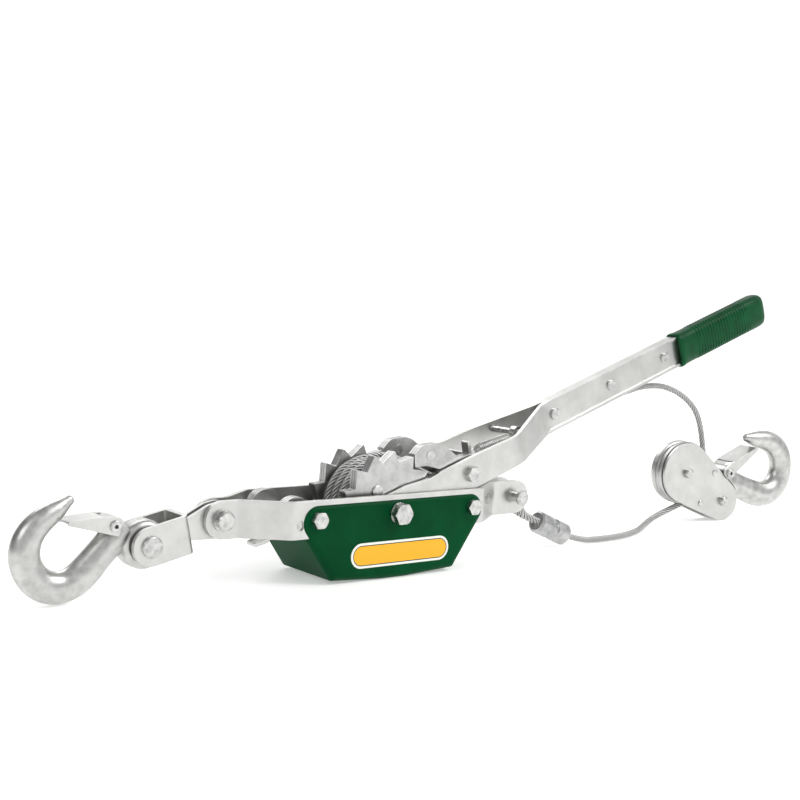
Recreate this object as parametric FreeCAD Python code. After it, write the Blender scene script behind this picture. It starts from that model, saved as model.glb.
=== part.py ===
import FreeCAD, Part
import math
import os

# Come along winch, millimetres. The model is worked out about the drum axle: X runs along the pull
# line towards the block, Y across the frame, Z up. It is set down on the floor at the end.
V = FreeCAD.Vector
os.makedirs("parts", exist_ok=True)

# Clearances
RUN_FIT = 0.06            # radial, a shaft that turns in its hole
SIDE_GAP = 0.6            # between faces that pass each other
WHEEL_GAP = 1.6           # between a wheel and the arm, for the drum rivets' heads
FREE_GAP = 0.3            # between curved faces of different bodies
BOLT_FIT = 0.05           # radial, a bolt in its hole

# Wire rope and drum
ROPE_D = 5.0
DRUM_WIDTH = 28.0
CORE_R = 28.4
CORE_WALL = 4.4
CORE_WEB_HALF = 4.0
CORE_HUB_T = 5.0
CLAMP = (8.0, 6.4)        # length along the rope, breadth
WIND_PITCH = 7.2          # more than a rope over the part of a turn that the handle leaves
WIND_TURNS = 2.44
WIND_START_Y = 9.0
WIND_START_ANGLE = 102.0

# Ratchet wheels
TEETH = 15
TIP_R = 39.5
ROOT_R = 32.5
FIRST_TIP = 85.9          # angle of one tooth tip, from +X towards +Z
STEEP_ANGLE = 6.4         # from a tip back to the root behind it
TIP_LAND = 1.2
SHEET_T = 2.4
SHEETS = 3
SEAM = 0.3                # groove between two sheets
WHEEL_RIVET_R = 16.9      # distance of the drum rivets from the axle
WHEEL_RIVET_ANGLE = 129.0
WHEEL_RIVET_HOLE_R = 3.0

# Frame
FRAME_T = 3.2
FRAME_HALF_Z = 12.0
FRAME_BEND_R = 5.0
ANCHOR_X = -119.3         # frame bolt
EAR_PIN_X = 124.0
EAR_R = 12.0
LEFT_EAR_Y = 8.2
RIGHT_EAR_Y = 9.8
LEFT_JOGGLE = (-109.0, -81.5)
RIGHT_JOGGLE = (75.0, 102.0)
COVER_BOLT_X = 63.8
JOGGLE_RIVET = (86.0, 2.7)
FRAME_SLOT = (-76.0, -3.3)
SLOT_W = 5.0
SLOT_H = 6.5
EAR_PIN_R = 3.5
JOGGLE_RIVET_R = 1.9
JOGGLE_HEAD_R = 3.7
SHAFT_RECESS = 1.2        # of the pawl shaft's ends in the frame slots

# Cover
COVER_T = 1.7
COVER_TOP = 10.0
COVER_END_X = 79.0
COVER_LOW_X = 50.3
COVER_FLOOR_Z = -(TIP_R + 4.1)
COVER_LOW_Z = COVER_FLOOR_Z + 2.3
COVER_OPEN_Z = -12.5      # the ends are open above this
COVER_FLAT_X = 10.0
COVER_CORNER_R = 12.0
COVER_BEND_R = 5.0
PLATE_LABEL = (3.0, -26.0, 81.0, 16.5, 0.5)

# Bolts: thread size, across flats, head height
M8 = (8.0, 13.0, 5.3)
M6 = (6.0, 10.0, 4.0)
WASHER_T = 1.4
WASHER_R = 7.2
BUSH_R = 7.0
FRAME_BOLT_R = M8[0] / 2
SPACER_R = 4.2

# Handle
HANDLE_REST = 19.6
ARM_T = 3.0
ARM_HALF = 12.0
ARM_TOP = 9.6             # upper edge beyond the axle's eye
ARM_DIP = 8.0             # upper edge before the joggle
ARM_LOW = 12.8            # lower edge
ARM_BEND_R = 24.0
WAIST_HALF = 12.2
BAR_HALF = 12.0
BAR_LIP_Y = 4.5
BAR_LIP_T = 2.2
ARM_JOGGLE = (118.0, 167.0)
BAR_END = 423.0
BAR_RIVETS = (176.0, 238.5, 302.0)
BAR_RIVET_R = 2.45
CROSS_BOLT = (70.0, -1.7)
SPRING_PIN = (130.2, 3.7)
CROSS_SLEEVE_R = 5.0
SPRING_PIN_R = 2.5
SPRING_PIN_HALF = 16.3
GRIP_START = 318.0
GRIP_END = 430.0
GRIP_HALF = 13.9
GRIP_HALF_Y = 8.6
GRIP_RIBS = 20
GRIP_RIB_SPAN = (338.0, 408.0)

# Pawls
PAWL_HUB_R = 9.5
ENGAGE_TIP = 61.9
PAWL_LIFT = 25.0
HOLD_SWING = 7.0
HOLD_HUB = (-74.0, 2.0, 11.7)
HOLD_SHAFT_R = 4.0
HOLD_TIP = 229.9
PAWL_RIVET = (33.1, 35.5)
LINK_BACK = 9.2
LINK_T = 2.4
LINK_LOW_TOP = 0.4        # top of the link between the pawls, above the spring's line
LINK_LUG = (8.6, 7.2)     # top and breadth of the lug that takes the spring
PAWL_RIVET_R = 2.0

# Pawl spring
SPRING_OD = 7.8
SPRING_WIRE = 1.2
SPRING_TURNS = 16
SPRING_COIL = (84.3, 112.6)   # the coil's ends along the pull line of the spring
SPRING_LINE = (82.7, 36.1, 13.3)
SPRING_Y = -9.6

# Anchor side: swivel bracket, shackle and hook
SWIVEL_TILT = 12.5
BRACKET_T = 2.6
BRACKET_R = 11.0
BRACKET_END = 24.4
BRACKET_HALF_END = 6.3
SHACKLE_T = 3.0
SHACKLE_HALF_Y = 14.5
SHACKLE_R = 11.8
HOOK_PIN_S = 52.5
SWIVEL_PIN_R = 2.4

# Hook forging, from the eye centre: u towards the bowl, v up
HOOK_EYE_R = 15.0
HOOK_PIN_R = 5.0
HOOK_HALF = 7.8
HOOK_FLAT = 0.8           # breadth of the bar's section over its height
EYE_EDGE = 4.0
HOOK_BAR = [(11.5, 10.8, 8.8), (22.1, 0.2, 9.4), (34.6, -12.8, 9.6), (42.0, -18.8, 9.7),
            (51.2, -21.7, 9.7), (61.2, -19.4, 9.6), (68.6, -12.4, 9.4), (72.3, -2.5, 9.2),
            (70.6, 8.2, 8.7), (65.6, 15.2, 8.0), (59.4, 20.0, 7.0), (52.4, 24.4, 5.4),
            (46.6, 28.6, 3.2)]         # u, v and radius of the bar's sections
TIP_DOME = [(0.55, 0.84), (0.85, 0.53), (0.98, 0.2)]   # how far past the last one, radius
ANCHOR_LATCH = ((21.1, 13.2), (50.3, 16.4))    # rivet and tip of the latch
TAIL_LATCH = ((13.5, 16.8), (46.8, 20.0))
ANCHOR_FOOT = 6.0         # of the latch cheeks, below their rivet
TAIL_FOOT = 3.8           # shorter, clear of the block plates
LATCH_LUG_R = 5.6
LATCH_T = 1.2
LATCH_PIN_R = 2.0
LATCH_BORE_R = 1.2

# Block
BLOCK_AT = (362.4, 38.2, -0.2)
BLOCK_YAW = 7.0
SHEAVE_WRAP_R = 27.3      # rope centre line round the sheave
SHEAVE_FLANGE_R = 27.0
BLOCK_R = 26.0
BLOCK_END_R = 17.3
BLOCK_PIN = (42.8, -25.8)
BLOCK_HALF_Y = 8.65
BLOCK_T = 2.6
BLOCK_RIVETS = ((32.2, -0.8), (17.6, -26.9))
AXLE_R = 4.0
AXLE_HEAD_T = 4.0
TAIL_SCALE = 1.16
TAIL_TILT = 27.0
TAIL_EYE_HALF = 5.6
TAIL_SWING = (-75.0, 5.0)

# Free rope: eye, ferrule and the route, points by hand; heights above the floor in the low part
FERRULE_AT = (155.5, -22.0)
FERRULE_TILT = 22.8
FERRULE_L = 32.5
FERRULE_R = 8.4
EYE_LEG = 2.6             # half the space between the legs' centre lines
EYE_LEG_RUN = 19.0        # straight run of the legs from the ferrule
EYE_TOP_Y = 1.3
EYE_COLLAR_R = 4.8
ROPE_LOW = [(204, 0, 3.0), (228, -0.6, 2.6), (254, 1.4, 2.6), (283, 12, 2.6),
            (306, 27, 2.6), (322, 36.4, 3.0), (337, 41.3, 6.2)]
ROPE_HIGH = [(381.5, 35.9, 45), (364, 36.2, 63), (335, 36.4, 74.8), (306, 36.2, 75.4),
             (281, 36, 69.6), (250, 36, 63.6), (209.5, 36.3, 52.5), (177, 36.8, 41.2),
             (149, 36.4, 31.0), (125, 32.6, 22.6), (107, 21.6, 16.8), (90, 12.2, 14.7),
             (72, 8.9, 12.3), (52, 8.9, 18.2), (33, 9.0, 27.7), (14, 9.0, 34.3)]

# Places worked out from the sizes above
WHEEL_IN = DRUM_WIDTH / 2
WHEEL_OUT = WHEEL_IN + SHEETS * SHEET_T
ARM_IN = WHEEL_OUT + WHEEL_GAP
ARM_OUT = ARM_IN + ARM_T
FRAME_IN = ARM_OUT + SIDE_GAP
FRAME_OUT = FRAME_IN + FRAME_T
COVER_OUT = FRAME_OUT + COVER_T
AXLE_Z = -COVER_FLOOR_Z
WIND_R = CORE_R + ROPE_D / 2 + 0.1

NODES = {}


def polar(radius, angle):
    a = math.radians(angle)
    return (radius * math.cos(a), radius * math.sin(a))


def disc(x, z, r, y0, y1):
    return Part.makeCylinder(r, y1 - y0, V(x, y0, z), V(0, 1, 0))


def ring(x, z, r_out, r_in, y0, y1):
    return disc(x, z, r_out, y0, y1).cut(disc(x, z, r_in, y0 - 1, y1 + 1))


def box(x0, x1, y0, y1, z0, z1):
    return Part.makeBox(x1 - x0, y1 - y0, z1 - z0, V(x0, y0, z0))


def fuse(first, *others):
    return first.fuse(list(others)).removeSplitter()


def mirror(shape):
    return shape.mirror(V(0, 0, 0), V(0, 1, 0))


def turn(shape, angle, x=0.0, z=0.0):
    """Turn seen from the front, from +X towards +Z."""
    out = shape.copy()
    out.rotate(V(x, 0, z), V(0, -1, 0), angle)
    return out


def corner_face(corners, to_3d):
    """Face through corners (a, b, radius), each rounded by an arc of its radius."""
    edges, ends = [], []
    n = len(corners)
    for i in range(n):
        p0, p1, p2 = (V(*corners[(i + k) % n][:2], 0) for k in (-1, 0, 1))
        r = corners[i][2] if len(corners[i]) > 2 else 0
        u1, u2 = (p1 - p0).normalize(), (p2 - p1).normalize()
        angle = u1.getAngle(u2)
        if r <= 0 or angle < 1e-3:
            ends.append((p1, p1, None))
            continue
        run = r * math.tan(angle / 2)
        a, b = p1 - u1 * run, p1 + u2 * run
        inward = (u2 - u1).normalize()
        centre = p1 + inward * (r / math.cos(angle / 2))
        ends.append((a, b, centre - inward * r))
    for i in range(n):
        a, b, mid = ends[i]
        if mid is not None:
            edges.append(Part.Arc(to_3d(a), to_3d(mid), to_3d(b)).toShape())
        nxt = ends[(i + 1) % n][0]
        if b.distanceToPoint(nxt) > 1e-6:
            edges.append(Part.LineSegment(to_3d(b), to_3d(nxt)).toShape())
    return Part.Face(Part.Wire(edges))


def plate(corners, y0, y1):
    """Solid with an outline in X and Z, from y0 to y1."""
    face = corner_face(corners, lambda p: V(p.x, y0, p.y))
    return face.extrude(V(0, y1 - y0, 0))


def strip(path, thick, bend_r, z0, z1):
    """Sheet seen from above: a path in X and Y, its thickness laid to the path's right."""
    pts = [V(x, y, 0) for x, y in path]
    left, right = [], []
    for i, p in enumerate(pts):
        ua = (pts[i] - pts[i - 1]).normalize() if i else (pts[1] - pts[0]).normalize()
        ub = (pts[i + 1] - pts[i]).normalize() if i < len(pts) - 1 else ua
        na, nb = V(ua.y, -ua.x, 0), V(ub.y, -ub.x, 0)
        shift = (na + nb) * (thick / (1 + na.dot(nb)))
        turn_left = ua.cross(ub).z > 0
        inner = bend_r if 0 < i < len(pts) - 1 else 0
        outer = bend_r + thick if 0 < i < len(pts) - 1 else 0
        left.append((p.x, p.y, inner if turn_left else outer))
        right.append((p.x + shift.x, p.y + shift.y, outer if turn_left else inner))
    face = corner_face(left + right[::-1], lambda p: V(p.x, p.y, z0))
    return face.extrude(V(0, 0, z1 - z0))


def hexagon(x, z, across, y0, y1):
    corner = across / math.sqrt(3)
    pts = [(x + corner * math.cos(math.radians(60 * k)),
            z + corner * math.sin(math.radians(60 * k)), 0) for k in range(6)]
    head = plate(pts, y0, y1)
    cone = disc(x, z, corner * 0.985, y0, y1)
    return head.common(chamfered(cone, corner * 0.07))


def chamfered(shape, size):
    """Chamfer of the full circles of a disc."""
    rims = [e for e in shape.Edges if e.isClosed() and isinstance(e.Curve, Part.Circle)]
    return shape.makeChamfer(size, rims)


def screw(x, z, size, y_head, y_end):
    """Hex screw with its head's seat at y_head on the front, shank to y_end at the back."""
    thread, across, height = size
    head = hexagon(x, z, across, y_head - height, y_head)
    shank = disc(x, z, thread / 2, y_head - 0.5, y_end)
    return fuse(head, shank)


def nut(x, z, size, y_seat, height):
    thread, across, _ = size
    body = hexagon(x, z, across, y_seat, y_seat + height)
    return body.cut(disc(x, z, thread / 2 + BOLT_FIT, y_seat - 1, y_seat + height + 1))


def rivet(x, z, r, head_r, head_t, y0, y1):
    """Rivet from face y0 to face y1 with a low round head on each."""
    edge = head_t * 0.45
    front = disc(x, z, head_r, y0 - head_t, y0)
    back = disc(x, z, head_r, y1, y1 + head_t)
    front = front.makeFillet(edge, [e for e in front.Edges if e.isClosed()
                                    and abs(e.BoundBox.YMin - (y0 - head_t)) < 1e-6
                                    and e.BoundBox.YLength < 1e-6])
    back = back.makeFillet(edge, [e for e in back.Edges if e.isClosed()
                                  and abs(e.BoundBox.YMax - (y1 + head_t)) < 1e-6
                                  and e.BoundBox.YLength < 1e-6])
    return fuse(disc(x, z, r, y0 - 0.2, y1 + 0.2), front, back)


def circle_wire(at, along, d):
    return Part.Wire(Part.Circle(at, along, d / 2).toShape())


def sweep(edges, start, along, d):
    path = Part.Wire(edges)
    return path.makePipeShell([circle_wire(start, along, d)], True, False)


def arc_by_tangent(p0, t0, p1):
    """Arc from p0, leaving along t0, to p1, with the tangent at its end."""
    chord = p1 - p0
    half = t0.getAngle(chord)
    if half < 1e-6:
        return Part.LineSegment(p0, p1).toShape(), V(t0)
    reach = chord.Length / (2 * math.cos(half))
    knee = p0 + t0 * reach
    end = (p1 - knee).normalize()
    mid_dir = (knee - (p0 + p1) * 0.5).normalize()
    rise = chord.Length / 2 * math.tan(half / 2)
    mid = (p0 + p1) * 0.5 + mid_dir * rise
    return Part.Arc(p0, mid, p1).toShape(), end


def biarc(p0, t0, p1, t1):
    """Two arcs that leave p0 along t0 and reach p1 along t1."""
    v = p1 - p0
    s = t0 + t1
    k = 2 * (1 - t0.dot(t1))
    if k < 1e-9:
        d = v.dot(v) / (4 * v.dot(t1))
    else:
        d = (-v.dot(s) + math.sqrt(v.dot(s) ** 2 + k * v.dot(v))) / k
    joint = (p0 + p1 + (t0 - t1) * d) * 0.5
    first, _ = arc_by_tangent(p0, t0, joint)
    back, _ = arc_by_tangent(p1, t1 * -1, joint)
    mid = back.valueAt((back.FirstParameter + back.LastParameter) / 2)
    return [first, Part.Arc(joint, mid, p1).toShape()]


def biarc_chain(points, tangents):
    edges = []
    for i in range(len(points) - 1):
        edges += biarc(points[i], tangents[i], points[i + 1], tangents[i + 1])
    return edges


def least_gap(points, d, apart):
    """Least space between two places of a tube that are more than `apart` along it."""
    along, best = [0.0], 1e9
    for a, b in zip(points, points[1:]):
        along.append(along[-1] + a.distanceToPoint(b))
    for i in range(len(points)):
        for j in range(i + 1, len(points)):
            if along[j] - along[i] > apart:
                best = min(best, points[i].distanceToPoint(points[j]))
    return best - d


def soft_route(points, name):
    """Straight runs joined by tangent arcs; prints its radii."""
    edges, radii = [], []
    at = points[0]
    for i in range(1, len(points) - 1):
        u1 = (points[i] - points[i - 1])
        u2 = (points[i + 1] - points[i])
        short = min(u1.Length, u2.Length)
        u1.normalize()
        u2.normalize()
        half = u1.getAngle(u2) / 2
        run = 0.45 * short
        radii.append(run / math.tan(half))
        a, b = points[i] - u1 * run, points[i] + u2 * run
        edges.append(Part.LineSegment(at, a).toShape())
        edges.append(arc_by_tangent(a, u1, b)[0])
        at = b
    edges.append(Part.LineSegment(at, points[-1]).toShape())
    print(name, "radii", " ".join(f"{r:.0f}" for r in radii))
    return edges


# Ratchet wheels, drum and rope winding
def tooth_outline(inset):
    pts = []
    for k in range(TEETH):
        tip = FIRST_TIP + 360.0 / TEETH * k
        pts.append((*polar(ROOT_R - inset, tip - STEEP_ANGLE), 1.2))
        pts.append((*polar(TIP_R - inset, tip), 0))
        pts.append((*polar(TIP_R - inset, tip + TIP_LAND), 0))
    return pts


def wheel():
    """Front wheel: laminated sheets with a fine seam between them."""
    body = plate(tooth_outline(SEAM), -WHEEL_OUT + 0.01, -WHEEL_IN - 0.01)
    for k in range(SHEETS):
        y0 = -WHEEL_OUT + k * SHEET_T + (SEAM / 2 if k else 0)
        y1 = -WHEEL_OUT + (k + 1) * SHEET_T - (SEAM / 2 if k < SHEETS - 1 else 0)
        body = body.fuse(plate(tooth_outline(0), y0, y1))
    body = body.removeSplitter()
    body = body.cut(disc(0, 0, BUSH_R + RUN_FIT, -WHEEL_OUT - 1, -WHEEL_IN + 1))
    for x, z in wheel_rivet_places():
        body = body.cut(disc(x, z, WHEEL_RIVET_HOLE_R, -WHEEL_OUT - 1, -WHEEL_IN + 1))
    return body


def wheel_rivet_places():
    return [polar(WHEEL_RIVET_R, WHEEL_RIVET_ANGLE + 120 * k) for k in range(3)]


def drum_core():
    shell = ring(0, 0, CORE_R, CORE_R - CORE_WALL, -WHEEL_IN, WHEEL_IN)
    hub = disc(0, 0, BUSH_R + CORE_HUB_T, -WHEEL_IN, WHEEL_IN)
    web = disc(0, 0, CORE_R - CORE_WALL / 2, -CORE_WEB_HALF, CORE_WEB_HALF)
    core = fuse(shell, hub, web)
    for x, z in wheel_rivet_places():
        core = fuse(core, disc(x, z, WHEEL_RIVET_HOLE_R + 2.2, -WHEEL_IN, WHEEL_IN))
        core = core.cut(disc(x, z, WHEEL_RIVET_HOLE_R, -WHEEL_IN - 1, WHEEL_IN + 1))
    return core.cut(disc(0, 0, BUSH_R + RUN_FIT, -WHEEL_IN - 1, WHEEL_IN + 1))


def wind_point(turns):
    x, z = polar(WIND_R, WIND_START_ANGLE + 360 * turns)
    return V(x, WIND_START_Y - WIND_PITCH * turns, z)


def wind_tangent(turns):
    a = math.radians(WIND_START_ANGLE + 360 * turns)
    around = 2 * math.pi * WIND_R
    return V(-math.sin(a) * around, -WIND_PITCH, math.cos(a) * around).normalize()


def rope_winding():
    steps = int(round(WIND_TURNS * 4))
    turns = [WIND_TURNS * k / steps for k in range(steps + 1)]
    points = [wind_point(t) for t in turns]
    tangents = [wind_tangent(t) for t in turns]
    first = points[0] - tangents[0] * ROPE_D
    last = points[-1] + tangents[-1] * ROPE_D
    edges = [Part.LineSegment(first, points[0]).toShape()]
    edges += biarc_chain(points, tangents)
    edges.append(Part.LineSegment(points[-1], last).toShape())
    samples = [wind_point(WIND_TURNS * k / 240) for k in range(241)]
    gap = least_gap([first] + samples + [last], ROPE_D, 60)
    print(f"winding gap {gap:.2f}")
    return sweep(edges, first, tangents[0], ROPE_D), first, tangents[0], last, tangents[-1]


def rope_clamp(at, along):
    """Block on the core that holds the rope's inner end; its face is square to the rope."""
    length, breadth = CLAMP
    block = Part.makeBox(length, breadth, breadth, V(0, -breadth / 2, -breadth / 2))
    turned = FreeCAD.Rotation(V(1, 0, 0), along)
    block.Placement = FreeCAD.Placement(at, turned)
    return block.cut(disc(0, 0, CORE_R + 0.05, -WHEEL_IN - 1, WHEEL_IN + 1))


# Frame and cover
def frame_plate():
    """Front plate: ear, joggle, middle, joggle, ear."""
    path = [(ANCHOR_X - EAR_R - 3, -LEFT_EAR_Y), (LEFT_JOGGLE[0], -LEFT_EAR_Y),
            (LEFT_JOGGLE[1], -FRAME_OUT), (RIGHT_JOGGLE[0], -FRAME_OUT),
            (RIGHT_JOGGLE[1], -RIGHT_EAR_Y), (EAR_PIN_X + EAR_R + 3, -RIGHT_EAR_Y)]
    left_first = [(x, y) for x, y in path][::-1]
    sheet = strip(left_first, FRAME_T, FRAME_BEND_R, -FRAME_HALF_Z - 1, FRAME_HALF_Z + 1)
    x0, x1 = ANCHOR_X - EAR_R, EAR_PIN_X + EAR_R
    r = EAR_R - 0.001
    side = plate([(x0, -FRAME_HALF_Z, r), (x1, -FRAME_HALF_Z, r),
                  (x1, FRAME_HALF_Z, r), (x0, FRAME_HALF_Z, r)], -40, 0)
    body = sheet.common(side)
    holes = [(ANCHOR_X, 0, FRAME_BOLT_R + BOLT_FIT), (EAR_PIN_X, 0, EAR_PIN_R + BOLT_FIT),
             (0, 0, M8[0] / 2 + BOLT_FIT), (COVER_BOLT_X, 0, M6[0] / 2 + BOLT_FIT),
             (-COVER_BOLT_X, 0, M6[0] / 2 + BOLT_FIT)]
    for x, z, r in holes:
        body = body.cut(disc(x, z, r, -45, 0))
    body = body.cut(mirror(joggle_rod(JOGGLE_RIVET_R + BOLT_FIT, -FRAME_T - 2, 2)))
    return body.cut(slot_pin(SLOT_W / 2, -45, 0))


def slot_pin(r, y0, y1):
    """Upright oblong of the frame slot."""
    x, z = FRAME_SLOT
    rise = (SLOT_H - SLOT_W) / 2
    body = disc(x, z + rise, r, y0, y1).fuse(disc(x, z - rise, r, y0, y1))
    return body.fuse(box(x - r, x + r, y0, y1, z - rise, z + rise)).removeSplitter()


def cover_outline():
    slant = (COVER_END_X - COVER_LOW_X) / -COVER_LOW_Z
    top_x = COVER_END_X + slant * COVER_TOP
    return [(-top_x, COVER_TOP, COVER_CORNER_R), (-COVER_LOW_X, COVER_LOW_Z, 2),
            (-COVER_FLAT_X, COVER_FLOOR_Z, 0), (COVER_FLAT_X, COVER_FLOOR_Z, 0),
            (COVER_LOW_X, COVER_LOW_Z, 2), (top_x, COVER_TOP, COVER_CORNER_R)]


def cover():
    """Pressed trough with slanted ends, open at the top and above them."""
    outer = plate(cover_outline(), -COVER_OUT, COVER_OUT)
    outer = outer.makeFillet(COVER_BEND_R, floor_edges(outer, COVER_LOW_Z))
    slant = (COVER_END_X - COVER_LOW_X) / -COVER_LOW_Z
    skin = COVER_T * math.hypot(1, slant)
    floor = COVER_LOW_Z + COVER_T
    open_x = COVER_END_X + slant * COVER_OPEN_Z - skin
    low_x = COVER_END_X + slant * floor - skin
    wide = 2 * COVER_END_X
    half = [(COVER_FLAT_X, COVER_FLOOR_Z + COVER_T, 0), (low_x, floor, 2),
            (open_x, COVER_OPEN_Z, 0), (wide, COVER_OPEN_Z, 0), (wide, 60, 0)]
    inner = half + [(-x, z, r) for x, z, r in half[::-1]]
    hollow = plate(inner, -FRAME_OUT, FRAME_OUT)
    hollow = hollow.makeFillet(COVER_BEND_R - COVER_T, floor_edges(hollow, floor))
    body = outer.cut(hollow)
    body = body.cut(disc(0, 0, M8[0] / 2 + BOLT_FIT, -60, 60))
    for side in (-1, 1):
        body = body.cut(disc(side * COVER_BOLT_X, 0, M6[0] / 2 + BOLT_FIT, -60, 60))
    return body


def floor_edges(shape, top):
    """Long edges of the floor, below a height."""
    return [e for e in shape.Edges if e.BoundBox.ZMax < top + 0.5
            and e.BoundBox.YLength < 1e-6 and e.BoundBox.XLength > 15]


def cover_label():
    x, z, length, height, thick = PLATE_LABEL
    r = height / 2 - 0.01
    return plate([(x - length / 2, z - height / 2, r), (x + length / 2, z - height / 2, r),
                  (x + length / 2, z + height / 2, r), (x - length / 2, z + height / 2, r)],
                 -COVER_OUT - thick, -COVER_OUT)


# Handle
def handle_arm():
    """Front arm and its half of the bar, along +X before it is raised."""
    web = BAR_LIP_Y - 1.45
    j0, j1 = ARM_JOGGLE
    path = [(BAR_END, -web), (j1, -web), (j0, -ARM_OUT), (-ARM_HALF - 2, -ARM_OUT)]
    sheet = strip(path, ARM_T, ARM_BEND_R, -20, 20)
    eye_r = ARM_HALF - 0.001
    top = [(-ARM_HALF, ARM_HALF, eye_r), (ARM_HALF + 4, ARM_HALF, 20),
           (ARM_HALF + 20, ARM_TOP, 40), (CROSS_BOLT[0] + 10, ARM_TOP, 60), (j0, ARM_DIP, 60),
           (j1 + 5, BAR_HALF, 40), (BAR_END, BAR_HALF, 0)]
    low = [(-ARM_HALF, -ARM_HALF, eye_r), (ARM_HALF + 16, -ARM_LOW, 60), (j0 - 17, -ARM_LOW, 60),
           (j0 + 20, -WAIST_HALF, 60), (j1 + 5, -BAR_HALF, 40), (BAR_END, -BAR_HALF, 0)]
    side = plate(low[::-1] + top, -45, 5)
    body = sheet.common(side)
    for sign in (-1, 1):
        z0, z1 = sorted((sign * BAR_HALF, sign * (BAR_HALF - BAR_LIP_T)))
        lip = box(j1 - 4, BAR_END, -BAR_LIP_Y, -web + 0.5, z0, z1)
        body = fuse(body, lip.common(side))
    cuts = [(0, 0, BUSH_R + RUN_FIT), (*CROSS_BOLT, M6[0] / 2 + BOLT_FIT)]
    cuts += [(x, 0, BAR_RIVET_R + BOLT_FIT) for x in BAR_RIVETS]
    for x, z, r in cuts:
        body = body.cut(disc(x, z, r, -45, 5))
    blind = disc(*SPRING_PIN, SPRING_PIN_R + BOLT_FIT, -SPRING_PIN_HALF - BOLT_FIT, 5)
    body = body.cut(blind)
    return turn(body, HANDLE_REST)


def grip():
    """Moulded sleeve with cross ribs, slipped over the bar's end."""
    mid = (GRIP_START + GRIP_END) / 2
    sleeve = Part.makeBox(GRIP_END - GRIP_START, 2 * GRIP_HALF_Y, 2 * GRIP_HALF,
                          V(GRIP_START, -GRIP_HALF_Y, -GRIP_HALF))
    long_edges = [e for e in sleeve.Edges if e.BoundBox.XLength > 50]
    sleeve = sleeve.makeFillet(6.5, long_edges)
    far = [e for e in sleeve.Edges if e.BoundBox.XMin > GRIP_END - 0.1]
    sleeve = sleeve.makeFillet(5.0, far)
    pitch = (GRIP_RIB_SPAN[1] - GRIP_RIB_SPAN[0]) / GRIP_RIBS
    for k in range(GRIP_RIBS):
        x = GRIP_RIB_SPAN[0] + pitch * (k + 0.5)
        for y in (-GRIP_HALF_Y, GRIP_HALF_Y):
            rod = Part.makeCylinder(1.3, 2 * GRIP_HALF - 9, V(x, y, -GRIP_HALF + 4.5))
            sleeve = sleeve.cut(rod)
    web = BAR_LIP_Y + FREE_GAP / 3
    core = box(GRIP_START - 1, BAR_END + 0.2, -web, web, -BAR_HALF - 0.1, BAR_HALF + 0.1)
    return turn(sleeve.cut(core), HANDLE_REST)


def on_handle(x, z):
    p = V(x, 0, z)
    a = math.radians(HANDLE_REST)
    return (p.x * math.cos(a) - p.z * math.sin(a), p.x * math.sin(a) + p.z * math.cos(a))


# Pawls
def drive_pawl():
    """Front drive pawl: nose in a notch, hub on the cross bolt's sleeve, lobe for the link."""
    px, pz = on_handle(*CROSS_BOLT)
    heel = polar(ROOT_R + 2.1, ENGAGE_TIP - 7.7)
    head = polar(TIP_R + 1.6, ENGAGE_TIP + 0.1)
    hub = disc(px, pz, PAWL_HUB_R, -WHEEL_OUT, -WHEEL_IN)
    outline = [(*heel, 0.9), (*head, 2.2), (25.5, 42.6, 7), (41.5, 44.2, 14),
               (px - 8.5, pz + 11.5, 6), (px + 5.5, pz + 13.0, 3), (px + 11.5, pz + 11.5, 2),
               (px + 7.5, pz - 4, 0), (px, pz - PAWL_HUB_R + 1, 0), (px - 8, pz - 5.5, 0),
               (43.0, 25.6, 8), (30.0, 28.6, 6)]
    body = fuse(plate(outline, -WHEEL_OUT, -WHEEL_IN), hub)
    body = body.cut(disc(px, pz, CROSS_SLEEVE_R + RUN_FIT, -WHEEL_OUT - 1, -WHEEL_IN + 1))
    x, z = PAWL_RIVET
    return body.cut(disc(x, z, PAWL_RIVET_R, -WHEEL_OUT - 1, -WHEEL_IN + 1))


def spring_frame():
    """Start and direction of the spring's pull line, in X and Z."""
    x, z, tilt = SPRING_LINE
    a = math.radians(tilt)
    return V(x, SPRING_Y, z), V(math.cos(a), 0, math.sin(a)), V(-math.sin(a), 0, math.cos(a))


def pawl_link():
    """Low cross plate between the pawls with a lug for the spring at the front."""
    at, along, up = spring_frame()
    base = at - along * LINK_BACK
    low, t = base - up * 4.2, along * LINK_T
    lug_top, lug_breadth = LINK_LUG
    sheets = []
    for top, y1 in ((LINK_LOW_TOP, WHEEL_IN), (lug_top, -WHEEL_IN + lug_breadth)):
        high = base + up * top
        pts = [(p.x, p.z, 0.6) for p in (low, low + t, high + t, high)]
        sheets.append(plate(pts, -WHEEL_IN, y1))
    return fuse(*sheets)


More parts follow.
